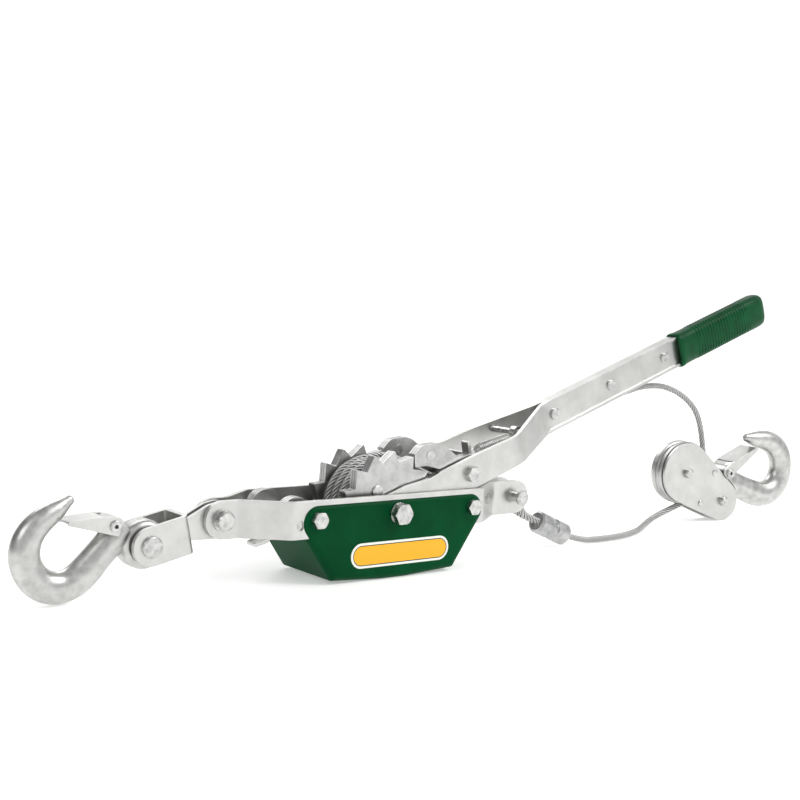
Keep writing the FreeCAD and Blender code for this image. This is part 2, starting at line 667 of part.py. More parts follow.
def pawl_spring():
    """Extension spring: straight end, curls, straight end at the eye pin."""
    at, along, up = spring_frame()
    side = V(0, 1, 0)
    r = (SPRING_OD - SPRING_WIRE) / 2
    x0, x1 = SPRING_COIL
    pitch = (x1 - x0) / SPRING_TURNS

    def point(t):
        a = 2 * math.pi * t
        return at + along * (x0 - SPRING_LINE[0] + pitch * t) + up * (r * math.cos(a)) \
            + side * (r * math.sin(a))

    def tangent(t):
        a = 2 * math.pi * t
        w = 2 * math.pi * r
        return (along * pitch - up * (w * math.sin(a)) + side * (w * math.cos(a))).normalize()

    steps = SPRING_TURNS * 4
    turns = [SPRING_TURNS * k / steps for k in range(steps + 1)]
    points = [point(t) for t in turns]
    tangents = [tangent(t) for t in turns]
    start = at - along * (LINK_BACK - LINK_T - FREE_GAP)
    knee = start + along * 2.2
    px, pz = on_handle(*SPRING_PIN)
    pin = V(px, SPRING_Y, pz)
    end = pin - along * (EYE_COLLAR_R - 0.3)
    end_knee = end - along * 2.0
    up_curve = biarc(knee, along, points[0], tangents[0])
    down_curve = biarc(points[-1], tangents[-1], end_knee, along)
    edges = [Part.LineSegment(start, knee).toShape()] + up_curve
    edges += biarc_chain(points, tangents) + down_curve
    edges.append(Part.LineSegment(end_knee, end).toShape())
    samples = [point(SPRING_TURNS * k / 640) for k in range(641)]
    print(f"spring gap {least_gap(samples, SPRING_WIRE, 12):.2f}")
    return sweep(edges, start, along, SPRING_WIRE)


def holding_pawl():
    """Front holding pawl, swung clear of the teeth."""
    x, z = FRAME_SLOT
    nose = polar(ROOT_R + 1.9, HOLD_TIP - 8.1)
    face = polar(TIP_R + 1.0, HOLD_TIP + 2.2)
    reach = [(*nose, 0.8), (nose[0] - 1.6, face[1] - 1.5, 1.2), (face[0] - 13, face[1] - 2.5, 6),
             (x + 19, z - 14, 6), (x + 10.5, z - 7.3, 3), (x - 4, z + 2, 0), (x + 5, z + 3, 0),
             (-42.5, -22.5, 8)]
    body = turn(plate(reach, -WHEEL_OUT, -WHEEL_IN), -HOLD_SWING, x, z)
    hx, hz, hr = HOLD_HUB
    body = fuse(body, disc(hx, hz, hr, -WHEEL_OUT, -WHEEL_IN))
    swing = math.hypot(-COVER_BOLT_X - x, z) * math.sin(math.radians(HOLD_SWING))
    clear = disc(-COVER_BOLT_X, 0, SPACER_R + swing + FREE_GAP, -WHEEL_OUT - 1, -WHEEL_IN + 1)
    body = body.cut(clear)
    return body.cut(disc(x, z, HOLD_SHAFT_R + RUN_FIT, -WHEEL_OUT - 1, -WHEEL_IN + 1))


def release_lever():
    """Bent plate that joins the holding pawls and reaches out below the frame."""
    bridge = plate([(-87.2, -3.0, 0.5), (-84.6, -3.0, 0.5), (-84.0, -12.8, 0),
                    (-86.8, -12.0, 0)], -WHEEL_IN, WHEEL_IN)
    tab = plate([(-84.0, -12.8, 0), (-87.0, -16.4, 0), (-96.5, -18.8, 0.8),
                 (-96.5, -16.0, 0.8), (-88.2, -13.8, 0), (-86.8, -12.0, 0)], -10, 0)
    return fuse(bridge, tab)


# Anchor side, along -X before it is tilted
def swivel_bracket():
    half_y = LEFT_EAR_Y - FRAME_T - FREE_GAP
    outer = [(ANCHOR_X + BRACKET_R, -BRACKET_R, BRACKET_R - 0.001),
             (ANCHOR_X + BRACKET_R, BRACKET_R, BRACKET_R - 0.001),
             (ANCHOR_X - 6, BRACKET_R, 10), (ANCHOR_X - BRACKET_END, BRACKET_HALF_END, 1),
             (ANCHOR_X - BRACKET_END, -BRACKET_HALF_END, 1), (ANCHOR_X - 6, -BRACKET_R, 10)]
    body = plate(outer, -half_y, half_y)
    gap = half_y - BRACKET_T
    body = body.cut(box(ANCHOR_X - BRACKET_END + BRACKET_T, ANCHOR_X + 20, -gap, gap, -20, 20))
    body = body.cut(disc(ANCHOR_X, 0, FRAME_BOLT_R + RUN_FIT, -10, 10))
    body = body.cut(axis_rod(BRACKET_END - BRACKET_T - 1, BRACKET_END + 1,
                             SWIVEL_PIN_R + BOLT_FIT))
    return turn(body, SWIVEL_TILT, ANCHOR_X, 0)


def axis_rod(s0, s1, r):
    """Rod on the swivel axis, s measured from the frame bolt."""
    return Part.makeCylinder(r, s1 - s0, V(ANCHOR_X - s0, 0, 0), V(-1, 0, 0))


def swivel_rivet():
    bridge_in = BRACKET_END - BRACKET_T
    half_y = LEFT_EAR_Y - FRAME_T - FREE_GAP - BRACKET_T
    inner = box(ANCHOR_X - bridge_in, ANCHOR_X - bridge_in + 3.2, -half_y + 0.05,
                half_y - 0.05, -4.6, 4.6)
    head_at = BRACKET_END + FREE_GAP + SHACKLE_T + FREE_GAP
    head = axis_rod(head_at, head_at + 3.4, 5.1)
    shank = axis_rod(bridge_in - 0.2, head_at + 0.2, SWIVEL_PIN_R)
    return turn(fuse(inner, shank, head), SWIVEL_TILT, ANCHOR_X, 0)


def hook_shackle():
    s0 = BRACKET_END + FREE_GAP
    x0, x1 = ANCHOR_X - s0, ANCHOR_X - HOOK_PIN_S
    path = [(x1 - SHACKLE_R - 1, -SHACKLE_HALF_Y), (x0, -SHACKLE_HALF_Y),
            (x0, SHACKLE_HALF_Y), (x1 - SHACKLE_R - 1, SHACKLE_HALF_Y)]
    strap = strip(path[::-1], SHACKLE_T, 2.0, -15, 15)
    side = plate([(x0 + 1, -SHACKLE_R, 0), (x0 + 1, SHACKLE_R, 0),
                  (x1 - SHACKLE_R, SHACKLE_R, SHACKLE_R - 0.001),
                  (x1 - SHACKLE_R, -SHACKLE_R, SHACKLE_R - 0.001)], -20, 20)
    body = strap.common(side)
    body = body.cut(axis_rod(s0 - 1, s0 + SHACKLE_T + 1, SWIVEL_PIN_R + RUN_FIT))
    body = body.cut(disc(x1, 0, HOOK_PIN_R + BOLT_FIT, -20, 20))
    return turn(body, SWIVEL_TILT, ANCHOR_X, 0)


def bar_section(u, v, r, du, dv):
    """Oval wire about a point of the hook's bar, square to the way (du, dv)."""
    at, side = V(-u, 0, v), V(0, 1, 0)
    across = V(-du, 0, dv).normalize().cross(side)
    return Part.Wire(Part.Ellipse(at + across * r, at + side * (r * HOOK_FLAT), at).toShape())


def hook_bar():
    """Bar of the forging, from inside the eye round the bowl to the domed tip."""
    sections = []
    last = len(HOOK_BAR) - 1
    for i, (u, v, r) in enumerate(HOOK_BAR):
        (ua, va, _), (ub, vb, _) = HOOK_BAR[max(i - 1, 0)], HOOK_BAR[min(i + 1, last)]
        sections.append(bar_section(u, v, r, ub - ua, vb - va))
    (ua, va, _), (ub, vb, r) = HOOK_BAR[-2:]
    run = math.hypot(ub - ua, vb - va)
    du, dv = (ub - ua) / run, (vb - va) / run
    for past, share in TIP_DOME:
        sections.append(bar_section(ub + du * r * past, vb + dv * r * past, r * share, du, dv))
    return Part.makeLoft(sections, True, False)


def rounded(shape, size):
    """Fillet of the full circles of a disc."""
    return shape.makeFillet(size, [e for e in shape.Edges
                                   if e.isClosed() and e.BoundBox.YLength < 1e-6])


def plates_sweep(y0, y1):
    """Room that the block's plates need beside the eye over the tail hook's swing."""
    ex, ez = BLOCK_PIN
    towards = math.degrees(math.atan2(-ez, -ex)) - TAIL_TILT
    lean = 180 - math.degrees(math.acos((BLOCK_R - BLOCK_END_R) / math.hypot(ex, ez)))
    h = (BLOCK_END_R + SIDE_GAP) / TAIL_SCALE
    room = disc(0, 0, h, y0, y1)
    for normal, way in ((towards - lean - TAIL_SWING[1], 90),
                        (towards + lean - TAIL_SWING[0], -90)):
        nu, nv = polar(1, normal)
        du, dv = polar(60, normal + way)
        corners = [(h * nu, h * nv), (h * nu + du, h * nv + dv),
                   (du - 20 * nu, dv - 20 * nv), (0, 0)]
        room = room.fuse(plate([(-u, v, 0) for u, v in corners], y0, y1))
    return room


def hook_body(eye_half, latch):
    """Forged hook about its eye centre: u towards -X, v up."""
    u, v = latch[0]
    bar = fuse(hook_bar(), rounded(disc(-u, v, LATCH_LUG_R, -HOOK_HALF, HOOK_HALF), 1.0))
    keep = HOOK_HALF + 1
    if eye_half < HOOK_HALF:
        bar = bar.cut(plates_sweep(-keep, -eye_half))
        bar = bar.cut(plates_sweep(eye_half, keep))
    body = fuse(bar, rounded(disc(0, 0, HOOK_EYE_R, -eye_half, eye_half), EYE_EDGE))
    body = body.cut(disc(0, 0, HOOK_PIN_R + RUN_FIT, -keep, keep))
    return body.cut(disc(-u, v, LATCH_PIN_R + RUN_FIT, -keep, keep))


def latch_place(shape, latch):
    """From the latch's own line, +X towards its tip, to the hook's."""
    (u0, v0), (u1, v1) = latch
    out = shape.mirror(V(0, 0, 0), V(1, 0, 0))
    out.rotate(V(0, 0, 0), V(0, 1, 0), math.degrees(math.atan2(v1 - v0, u1 - u0)))
    out.translate(V(-u0, 0, v0))
    return out


def hook_latch(latch, foot):
    """Folded channel from the latch rivet to the hook's tip, about the eye centre."""
    (u0, v0), (u1, v1) = latch
    length = math.hypot(u1 - u0, v1 - v0)
    half_in = HOOK_HALF + FREE_GAP
    half_out = half_in + LATCH_T
    back, top, tip_top = LATCH_LUG_R + 2.2, 5.4, 1.2
    body = plate([(-4.9, 1.8, 3), (-3.2, -foot, 1.0), (length, -0.8, 0.4),
                  (length, tip_top, 0.4), (back, top, 4), (-3.4, top, 3.2)], -half_out, half_out)
    drop = (top - tip_top) / (length - back)
    far = length + 3
    hollow = [(-8, -8, 0), (far, -8, 0), (far, tip_top - LATCH_T - 3 * drop, 0),
              (back, top - LATCH_T, 0), (back, 9, 0), (-8, 9, 0)]
    body = body.cut(plate(hollow, -half_in, half_in))
    body = body.cut(disc(0, 0, LATCH_PIN_R + BOLT_FIT, -20, 20))
    return latch_place(body, latch)


def latch_rivet(latch):
    """Tubular rivet."""
    u, v = latch[0]
    half = HOOK_HALF + FREE_GAP + LATCH_T
    body = rivet(-u, v, LATCH_PIN_R, 3.6, 1.6, -half, half)
    return body.cut(disc(-u, v, LATCH_BORE_R, -half - 3, half + 3))


def latch_spring(latch):
    """Leaf under the latch's web, from the hook's back to the web."""
    x0 = LATCH_LUG_R + 3.2
    leaf = plate([(x0, 2.9, 0), (20, 1.2, 0), (20, 1.8, 0), (x0, 3.5, 0)], -2, 2)
    return latch_place(leaf, latch)


def place_anchor(shape):
    out = shape.copy()
    x, z = anchor_eye()
    out.translate(V(x, 0, z))
    return out


def anchor_eye():
    a = math.radians(SWIVEL_TILT)
    return (ANCHOR_X - HOOK_PIN_S * math.cos(a), -HOOK_PIN_S * math.sin(a))


# Block and tail hook, in the block's own plane before it is placed
def place_block(shape):
    out = shape.copy()
    out.rotate(V(0, 0, 0), V(0, 0, 1), -BLOCK_YAW)
    out.translate(V(*BLOCK_AT))
    return out


def block_plate():
    ex, ez = BLOCK_PIN
    dist = math.hypot(ex, ez)
    base = math.degrees(math.atan2(ez, ex))
    lean = math.degrees(math.acos((BLOCK_R - BLOCK_END_R) / dist))
    y0, y1 = -BLOCK_HALF_Y, -BLOCK_HALF_Y + BLOCK_T
    pts = []
    for side in (1, -1):
        a = math.radians(base + side * lean)
        c, s = math.cos(a), math.sin(a)
        pts.append((BLOCK_R * c, BLOCK_R * s))
        pts.append((ex + BLOCK_END_R * c, ez + BLOCK_END_R * s))
    (a0, a1, b0, b1) = pts
    hull = plate([(*a0, 0), (*a1, 0), (*b1, 0), (*b0, 0)], y0, y1)
    body = fuse(hull, disc(0, 0, BLOCK_R, y0, y1), disc(ex, ez, BLOCK_END_R, y0, y1))
    holes = [(0, 0, AXLE_R + BOLT_FIT), (ex, ez, AXLE_R + BOLT_FIT)]
    holes += [(x, z, 2.0) for x, z in BLOCK_RIVETS]
    for x, z, r in holes:
        body = body.cut(disc(x, z, r, -20, 0))
    return body


def sheave():
    half = BLOCK_HALF_Y - BLOCK_T - SIDE_GAP
    groove_r = ROPE_D / 2 + FREE_GAP
    lip = math.sqrt(groove_r ** 2 - (SHEAVE_WRAP_R - SHEAVE_FLANGE_R) ** 2)
    start = V(AXLE_R + RUN_FIT, -half, 0)
    pts = [start, V(SHEAVE_FLANGE_R, -half, 0), V(SHEAVE_FLANGE_R, -lip, 0)]
    edges = [Part.LineSegment(a, b).toShape() for a, b in zip(pts, pts[1:])]
    root = V(SHEAVE_WRAP_R - groove_r, 0, 0)
    edges.append(Part.Arc(pts[-1], root, V(SHEAVE_FLANGE_R, lip, 0)).toShape())
    far = [V(SHEAVE_FLANGE_R, lip, 0), V(SHEAVE_FLANGE_R, half, 0),
           V(AXLE_R + RUN_FIT, half, 0), start]
    edges += [Part.LineSegment(a, b).toShape() for a, b in zip(far, far[1:])]
    face = Part.Face(Part.Wire(edges))
    return face.revolve(V(0, 0, 0), V(0, 1, 0), 360)


def tail(shape):
    """A piece of the hook forging, enlarged, turned about and hung on the block's pin."""
    out = shape.copy()
    out.scale(TAIL_SCALE)
    out.rotate(V(0, 0, 0), V(0, 0, 1), 180)
    out.rotate(V(0, 0, 0), V(0, -1, 0), TAIL_TILT)
    out.translate(V(BLOCK_PIN[0], 0, BLOCK_PIN[1]))
    return place_block(out)


# Rope eye, ferrule and free rope
def ferrule_frame():
    a = math.radians(FERRULE_TILT)
    return V(FERRULE_AT[0], 0, FERRULE_AT[1]), V(math.cos(a), 0, -math.sin(a))


def ferrule():
    at, along = ferrule_frame()
    r, n = FERRULE_R, FERRULE_L
    profile = [(0, 0), (0, r - 1.6), (1.6, r), (n * 0.42, r), (n * 0.46, r - 1.1),
               (n * 0.54, r - 1.1), (n * 0.58, r), (n - 1.6, r), (n, r - 1.6), (n, 0)]
    wire = Part.makePolygon([V(x, y, 0) for x, y in profile] + [V(0, 0, 0)])
    body = Part.Face(wire).revolve(V(0, 0, 0), V(1, 0, 0), 360)
    body.Placement = FreeCAD.Placement(at, FreeCAD.Rotation(V(1, 0, 0), along))
    return body


def rope_eye():
    """Rope loop round the ear pin; its legs run side by side into the ferrule."""
    at, along = ferrule_frame()
    out, up, side = along * -1, V(-along.z, 0, along.x), V(0, 1, 0)
    pin = V(EAR_PIN_X, 0, 0)
    r = EAR_PIN_R + ROPE_D / 2 + 0.1
    shift = side * (EYE_TOP_Y * 2 / math.pi)
    points = [at - side * EYE_LEG, at + out * EYE_LEG_RUN - side * EYE_LEG,
              pin + up * r - side * EYE_TOP_Y, pin + out * r, pin - up * r + side * EYE_TOP_Y,
              at + out * EYE_LEG_RUN + side * EYE_LEG, at + side * EYE_LEG]
    tangents = [out, out, out * r + shift, up * -r + shift, out * -r + shift, along, along]
    tangents = [V(t).normalize() for t in tangents]
    edges = [Part.LineSegment(points[0], points[1]).toShape()]
    edges += biarc_chain(points[1:-1], tangents[1:-1])
    edges.append(Part.LineSegment(points[-2], points[-1]).toShape())
    return sweep(edges, points[0], out, ROPE_D)


def block_point(x, z):
    a = math.radians(BLOCK_YAW)
    bx, by, bz = BLOCK_AT
    return V(bx + x * math.cos(a), by - x * math.sin(a), bz + z)


def sheave_tangent(point, side):
    """Tangent point on the rope's wrap circle from a point near the block's plane."""
    a = math.radians(BLOCK_YAW)
    x = (point.x - BLOCK_AT[0]) * math.cos(a) - (point.y - BLOCK_AT[1]) * math.sin(a)
    z = point.z - BLOCK_AT[2]
    base = math.atan2(z, x)
    lean = math.acos(SHEAVE_WRAP_R / math.hypot(x, z))
    return base + side * lean


def wire_rope(stub, stub_dir):
    at, along = ferrule_frame()
    start = at + along * FERRULE_L
    low = [start] + [V(x, y, COVER_FLOOR_Z + height) for x, y, height in ROPE_LOW]
    high = [V(*p) for p in ROPE_HIGH] + [stub - stub_dir * FREE_GAP]
    a_in = sheave_tangent(low[-1], 1)
    a_out = sheave_tangent(high[0], -1)
    wrap = lambda a: block_point(SHEAVE_WRAP_R * math.cos(a), SHEAVE_WRAP_R * math.sin(a))
    t_in, t_out = wrap(a_in), wrap(a_out)
    if a_in > 0:
        a_in -= 2 * math.pi
    first = soft_route(low + [t_in], "low rope")
    round_sheave = Part.Arc(t_in, wrap((a_in + a_out) / 2), t_out).toShape()
    second = soft_route([t_out] + high, "high rope")
    edges = first + [round_sheave] + second
    body = sweep(edges, start, (low[1] - low[0]).normalize(), ROPE_D)
    length = sum(e.Length for e in edges)
    section = math.pi * ROPE_D ** 2 / 4
    print(f"rope length {length:.1f}, volume over section x length"
          f" {body.Volume / (section * length):.4f}")
    return body


def grouped(*shapes):
    return Part.makeCompound(list(shapes))


def build_winch():
    front_wheel = wheel()
    NODES["ratchet_wheel_front"] = front_wheel
    NODES["ratchet_wheel_back"] = mirror(front_wheel)
    NODES["drum_core"] = drum_core()
    winding, stub, stub_dir, last, last_dir = rope_winding()
    NODES["rope_winding"] = winding
    NODES["rope_clamp"] = rope_clamp(last, last_dir)
    shank = WHEEL_RIVET_HOLE_R - BOLT_FIT
    NODES["drum_rivets"] = grouped(*[rivet(x, z, shank, 4.6, 1.2, -WHEEL_OUT, WHEEL_OUT)
                                     for x, z in wheel_rivet_places()])
    NODES["frame_plate_front"] = frame_plate()
    NODES["frame_plate_back"] = mirror(frame_plate())
    NODES["cover"] = cover()
    NODES["cover_label"] = cover_label()
    NODES["wire_rope"] = wire_rope(stub, stub_dir)
    NODES["rope_eye"] = rope_eye()
    NODES["ferrule"] = ferrule()
    build_bolts()


def build_bolts():
    seat = -COVER_OUT - WASHER_T
    thread, across, height = M8
    washers = [ring(0, 0, WASHER_R, thread / 2 + BOLT_FIT, seat, -COVER_OUT),
               ring(0, 0, WASHER_R, thread / 2 + BOLT_FIT, COVER_OUT, COVER_OUT + WASHER_T)]
    NODES["axle_washers"] = grouped(*washers)
    NODES["axle_bolt"] = screw(0, 0, M8, seat, COVER_OUT + WASHER_T + 8.5)
    NODES["end_nuts"] = grouped(nut(0, 0, M8, COVER_OUT + WASHER_T, 6.5),
                                nut(ANCHOR_X, 0, M8, LEFT_EAR_Y, 6.5))
    NODES["drum_bush"] = ring(0, 0, BUSH_R, thread / 2 + BOLT_FIT, -FRAME_IN, FRAME_IN)
    xs = (-COVER_BOLT_X, COVER_BOLT_X)
    NODES["cover_bolts"] = grouped(*[screw(x, 0, M6, -COVER_OUT, COVER_OUT + 7) for x in xs])
    NODES["cover_nuts"] = grouped(*[nut(x, 0, M6, COVER_OUT, 5.0) for x in xs])
    NODES["cover_spacers"] = grouped(*[ring(x, 0, SPACER_R, M6[0] / 2 + BOLT_FIT,
                                            -FRAME_IN, FRAME_IN) for x in xs])
    NODES["frame_bolt"] = fuse(disc(ANCHOR_X, 0, FRAME_BOLT_R, -LEFT_EAR_Y - 0.5, LEFT_EAR_Y + 8),
                               chamfered(disc(ANCHOR_X, 0, 5.75, -LEFT_EAR_Y - 5.8,
                                              -LEFT_EAR_Y - 1.2), 0.7),
                               disc(ANCHOR_X, 0, 7.0, -LEFT_EAR_Y - 1.6, -LEFT_EAR_Y))
    NODES["ear_pin"] = fuse(disc(EAR_PIN_X, 0, EAR_PIN_R, -RIGHT_EAR_Y - 7, RIGHT_EAR_Y + 5),
                            chamfered(disc(EAR_PIN_X, 0, 5.5, -RIGHT_EAR_Y - 8.2,
                                           -RIGHT_EAR_Y - 5.6), 0.5))
    NODES["ear_pin_ring"] = ring(EAR_PIN_X, 0, 6.4, EAR_PIN_R + BOLT_FIT, RIGHT_EAR_Y + 0.4,
                                 RIGHT_EAR_Y + 1.8)
    NODES["joggle_rivets"] = grouped(*joggle_rivets())
    sx, sz = FRAME_SLOT
    end = FRAME_OUT - SHAFT_RECESS
    NODES["pawl_shaft"] = fuse(disc(sx, sz, HOLD_SHAFT_R, -FRAME_IN, FRAME_IN),
                               slot_pin(SLOT_W / 2 - BOLT_FIT, -end, end))


def joggle_rod(r, low, high):
    """Rod square through the back plate's sloping joggle, measured from its outer face."""
    x, z = JOGGLE_RIVET
    (xa, ya), (xb, yb) = (RIGHT_JOGGLE[0], FRAME_OUT), (RIGHT_JOGGLE[1], RIGHT_EAR_Y)
    y = ya + (yb - ya) * (x - xa) / (xb - xa)
    out = V(ya - yb, xb - xa, 0).normalize()
    return Part.makeCylinder(r, high - low, V(x, y, z) + out * low, out)


def joggle_rivets():
    back = fuse(joggle_rod(JOGGLE_RIVET_R, -FRAME_T * 0.9, 0.2), joggle_rod(JOGGLE_HEAD_R, 0.02, 1.7))
    return [back, mirror(back)]


def build_handle():
    front = handle_arm()
    NODES["handle_arm_front"] = front
    NODES["handle_arm_back"] = mirror(front)
    NODES["grip"] = grip()
    web = BAR_LIP_Y - 1.45
    rivets = [rivet(x, 0, BAR_RIVET_R, 4.4, 1.6, -web, web) for x in BAR_RIVETS]
    NODES["handle_rivets"] = grouped(*[turn(r, HANDLE_REST) for r in rivets])
    x, z = on_handle(*CROSS_BOLT)
    NODES["cross_bolt"] = screw(x, z, M6, -ARM_OUT, ARM_OUT + 5.6)
    NODES["cross_nut"] = nut(x, z, M6, ARM_OUT, 4.8)
    NODES["cross_sleeve"] = ring(x, z, CROSS_SLEEVE_R, M6[0] / 2 + BOLT_FIT, -ARM_IN, ARM_IN)
    x, z = on_handle(*SPRING_PIN)
    NODES["spring_eye_pin"] = fuse(
        disc(x, z, SPRING_PIN_R, -SPRING_PIN_HALF, SPRING_PIN_HALF),
        disc(x, z, EYE_COLLAR_R, SPRING_Y - 2.6, SPRING_Y + 2.6))
    NODES["pawl_spring"] = pawl_spring()


def build_pawls():
    front = drive_pawl()
    NODES["drive_pawl_front"] = front
    NODES["drive_pawl_back"] = mirror(front)
    NODES["pawl_link"] = pawl_link()
    x, z = PAWL_RIVET
    one = rivet(x, z, PAWL_RIVET_R - BOLT_FIT, 3.4, 0.35, -WHEEL_OUT, -WHEEL_IN)
    NODES["pawl_rivets"] = grouped(one, mirror(one))
    front = holding_pawl()
    NODES["holding_pawl_front"] = front
    NODES["holding_pawl_back"] = mirror(front)
    NODES["release_lever"] = release_lever()
    x, z = FRAME_SLOT
    NODES["holding_pawl_spring"] = ring(x, z, HOLD_SHAFT_R + 2.4, HOLD_SHAFT_R + BOLT_FIT,
                                        -WHEEL_IN + 2, WHEEL_IN - 2)


def build_anchor():
    NODES["swivel_bracket"] = swivel_bracket()
    NODES["swivel_rivet"] = swivel_rivet()
    NODES["hook_shackle"] = hook_shackle()
    ex, ez = anchor_eye()
    half = SHACKLE_HALF_Y
    NODES["shackle_rivet"] = rivet(ex, ez, HOOK_PIN_R, HOOK_PIN_R + 1.6, 2.2, -half, half)
    NODES["anchor_hook"] = place_anchor(hook_body(HOOK_HALF, ANCHOR_LATCH))
    NODES["anchor_latch"] = place_anchor(hook_latch(ANCHOR_LATCH, ANCHOR_FOOT))
    NODES["anchor_latch_rivet"] = place_anchor(latch_rivet(ANCHOR_LATCH))
    NODES["anchor_latch_spring"] = place_anchor(latch_spring(ANCHOR_LATCH))


def build_block():
    NODES["block_plate_front"] = place_block(block_plate())
    NODES["block_plate_back"] = place_block(mirror(block_plate()))
    NODES["sheave"] = place_block(sheave())
    half = BLOCK_HALF_Y
    proud = half + AXLE_HEAD_T
    NODES["sheave_axle"] = place_block(chamfered(disc(0, 0, AXLE_R, -proud, proud), 0.8))
    ex, ez = BLOCK_PIN
    inner = half - BLOCK_T
    NODES["block_hook_pin"] = place_block(fuse(
        chamfered(disc(ex, ez, AXLE_R, -proud, proud), 0.8),
        disc(ex, ez, HOOK_PIN_R * TAIL_SCALE, -inner, inner)))
    NODES["block_rivets"] = grouped(*[place_block(rivet(x, z, 1.95, 3.0, 0.9, -half, half))
                                      for x, z in BLOCK_RIVETS])
    NODES["tail_hook"] = tail(hook_body(TAIL_EYE_HALF / TAIL_SCALE, TAIL_LATCH))
    NODES["tail_latch"] = tail(hook_latch(TAIL_LATCH, TAIL_FOOT))
    NODES["tail_latch_rivet"] = tail(latch_rivet(TAIL_LATCH))
    NODES["tail_latch_spring"] = tail(latch_spring(TAIL_LATCH))


build_winch()
build_handle()
build_pawls()
build_anchor()
build_block()

for name, shape in NODES.items():
    placed = shape.copy()
    placed.translate(V(0, 0, AXLE_Z))
    if not placed.isValid():
        print("invalid", name)
    placed.exportStep(f"parts/{name}.step")
print(len(NODES), "nodes")
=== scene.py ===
import math

import bmesh
import bpy
from mathutils import Euler, Matrix, Vector


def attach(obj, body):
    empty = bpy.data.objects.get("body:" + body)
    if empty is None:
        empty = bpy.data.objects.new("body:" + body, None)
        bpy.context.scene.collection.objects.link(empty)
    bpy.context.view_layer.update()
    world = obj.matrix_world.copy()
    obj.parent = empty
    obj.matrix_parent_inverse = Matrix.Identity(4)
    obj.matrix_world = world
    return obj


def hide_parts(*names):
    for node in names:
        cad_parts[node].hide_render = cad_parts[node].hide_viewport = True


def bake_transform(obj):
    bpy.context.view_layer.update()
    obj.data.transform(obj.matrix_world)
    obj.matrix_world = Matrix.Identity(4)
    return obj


# Come along winch. Metres, in the frame of the CAD: X along the pull line towards the block,
# Y across the frame with the camera on the minus side, Z up from the floor under the cover.
MM = 0.001

# Sizes in millimetres and degrees, X and Z from the drum axle where nothing else is said
AXLE_HEIGHT = 43.6                    # of the drum axle above the floor
HANDLE_REST = 19.6                    # rise of the handle as photographed

ROPE_D = 5.0
STRANDS = 6
ROPE_LAY = 21.0                       # one turn of a strand along the rope
ROPE_STEP = 1.4                       # between two rings of a strand's mesh
WIRES_ROUND = 30                      # wires that show round the whole rope
VALLEY_SHADE_FULL, VALLEY_SHADE_NONE = 1.75, 2.45  # from the rope's middle: full painted shade below, none above
DRUM_ROPE_R = 31.0                    # middle of the rope on the drum
DRUM_START = (102.0, 9.0)             # angle and Y where the rope lands on the drum
DRUM_PITCH = 7.2
DRUM_TURNS = 2.44
TURN_POINTS = 12                      # of the winding's spline in each turn
FERRULE_MOUTH = (155.5, -22.0, 22.8)  # X, Z and fall of the ferrule
EAR_PIN_X = 124.0
EYE_R = 6.1                           # of the eye's bend round the ear pin
EYE_LEG_Y = 2.6                       # of each leg, to either side of the ferrule's middle
EYE_LEG_POINTS = (0, 8, 19)           # of a leg's spline, along it from the ferrule

SPRING_LINE = (82.7, 36.1, 13.3)      # X, Z and tilt of the pull line of the pawl spring
SPRING_Y = -9.6
SPRING_PIN = (130.2, 3.7)             # eye pin of the spring, along and above the handle
SPRING_COIL = (84.3, 112.6)           # X of the coil's ends
SPRING_TURNS = 16
SPRING_WIRE = 1.2
SPRING_R = 3.3                        # of the middle of its wire
SPRING_REACH = (6.4, 4.4)             # hooks' ends: before the line's start, short of the pin

GRIP_ENDS = (318.0, 430.0)            # along the handle
GRIP_HALF = (8.6, 13.9)               # half width and half height
GRIP_RIBS = (20, 339.7, 406.3)        # count, first and last place along the handle
RIB_R = 0.95
RIB_SINK = 1.1                        # of a rib's middle under the grip's section
RIB_CORNER = 5.4
BAR_POCKET = (423.4, 4.7, 12.2)       # its end along the handle, half width, half height

LABEL_AT = (3.0, 17.6)                # X of its middle, and Z above the floor
LABEL_SIZE = (81.0, 16.5)
LABEL_BANDS = (0.74, 0.82)            # outer edges of the field and the line, of its half height
SHEET_T = 2.4                         # of the sheets that wheels and pawls are laminated from
SHEETS_FROM = 14.0                    # Y of the first sheet's face

# Camera, in metres: 38 degrees to the left of square on, a little above, rolled as photographed
CAMERA_AT = (-0.5343, -0.7124, 0.1916)
CAMERA_AHEAD = (0.6127, 0.7858, -0.0844)
CAMERA_UP = (0.0163, 0.0942, 0.9954)
CAMERA_LENS = 59.85                   # mm on a 36 mm sensor

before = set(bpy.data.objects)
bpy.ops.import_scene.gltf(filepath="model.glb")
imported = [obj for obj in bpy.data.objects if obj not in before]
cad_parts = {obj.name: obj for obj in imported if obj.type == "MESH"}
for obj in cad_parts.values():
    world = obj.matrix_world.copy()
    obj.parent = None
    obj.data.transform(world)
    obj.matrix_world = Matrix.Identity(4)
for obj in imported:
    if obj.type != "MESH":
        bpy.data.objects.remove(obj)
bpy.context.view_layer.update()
scene = bpy.context.scene


# Small helpers
def linear(code):
    """Linear colour of an sRGB hex value."""
    parts = [int(code[i:i + 2], 16) / 255 for i in (1, 3, 5)]
    return (*[c / 12.92 if c <= 0.04045 else ((c + 0.055) / 1.055) ** 2.4 for c in parts], 1.0)


def add_node(tree, kind, settings=None, **inputs):
    """A node with its settings; an input takes a value or another node's output.

    `i2` is the input with index 2, for nodes whose inputs share a name.
    """
    made = tree.nodes.new(kind)
    for name, value in (settings or {}).items():
        setattr(made, name, value)
    for name, value in inputs.items():
        socket = made.inputs[int(name[1:])] if name[0] == "i" and name[1:].isdigit() \
            else made.inputs[name.replace("_", " ")]
        if isinstance(value, bpy.types.NodeSocket):
            tree.links.new(value, socket)
        else:
            socket.default_value = value
    return made


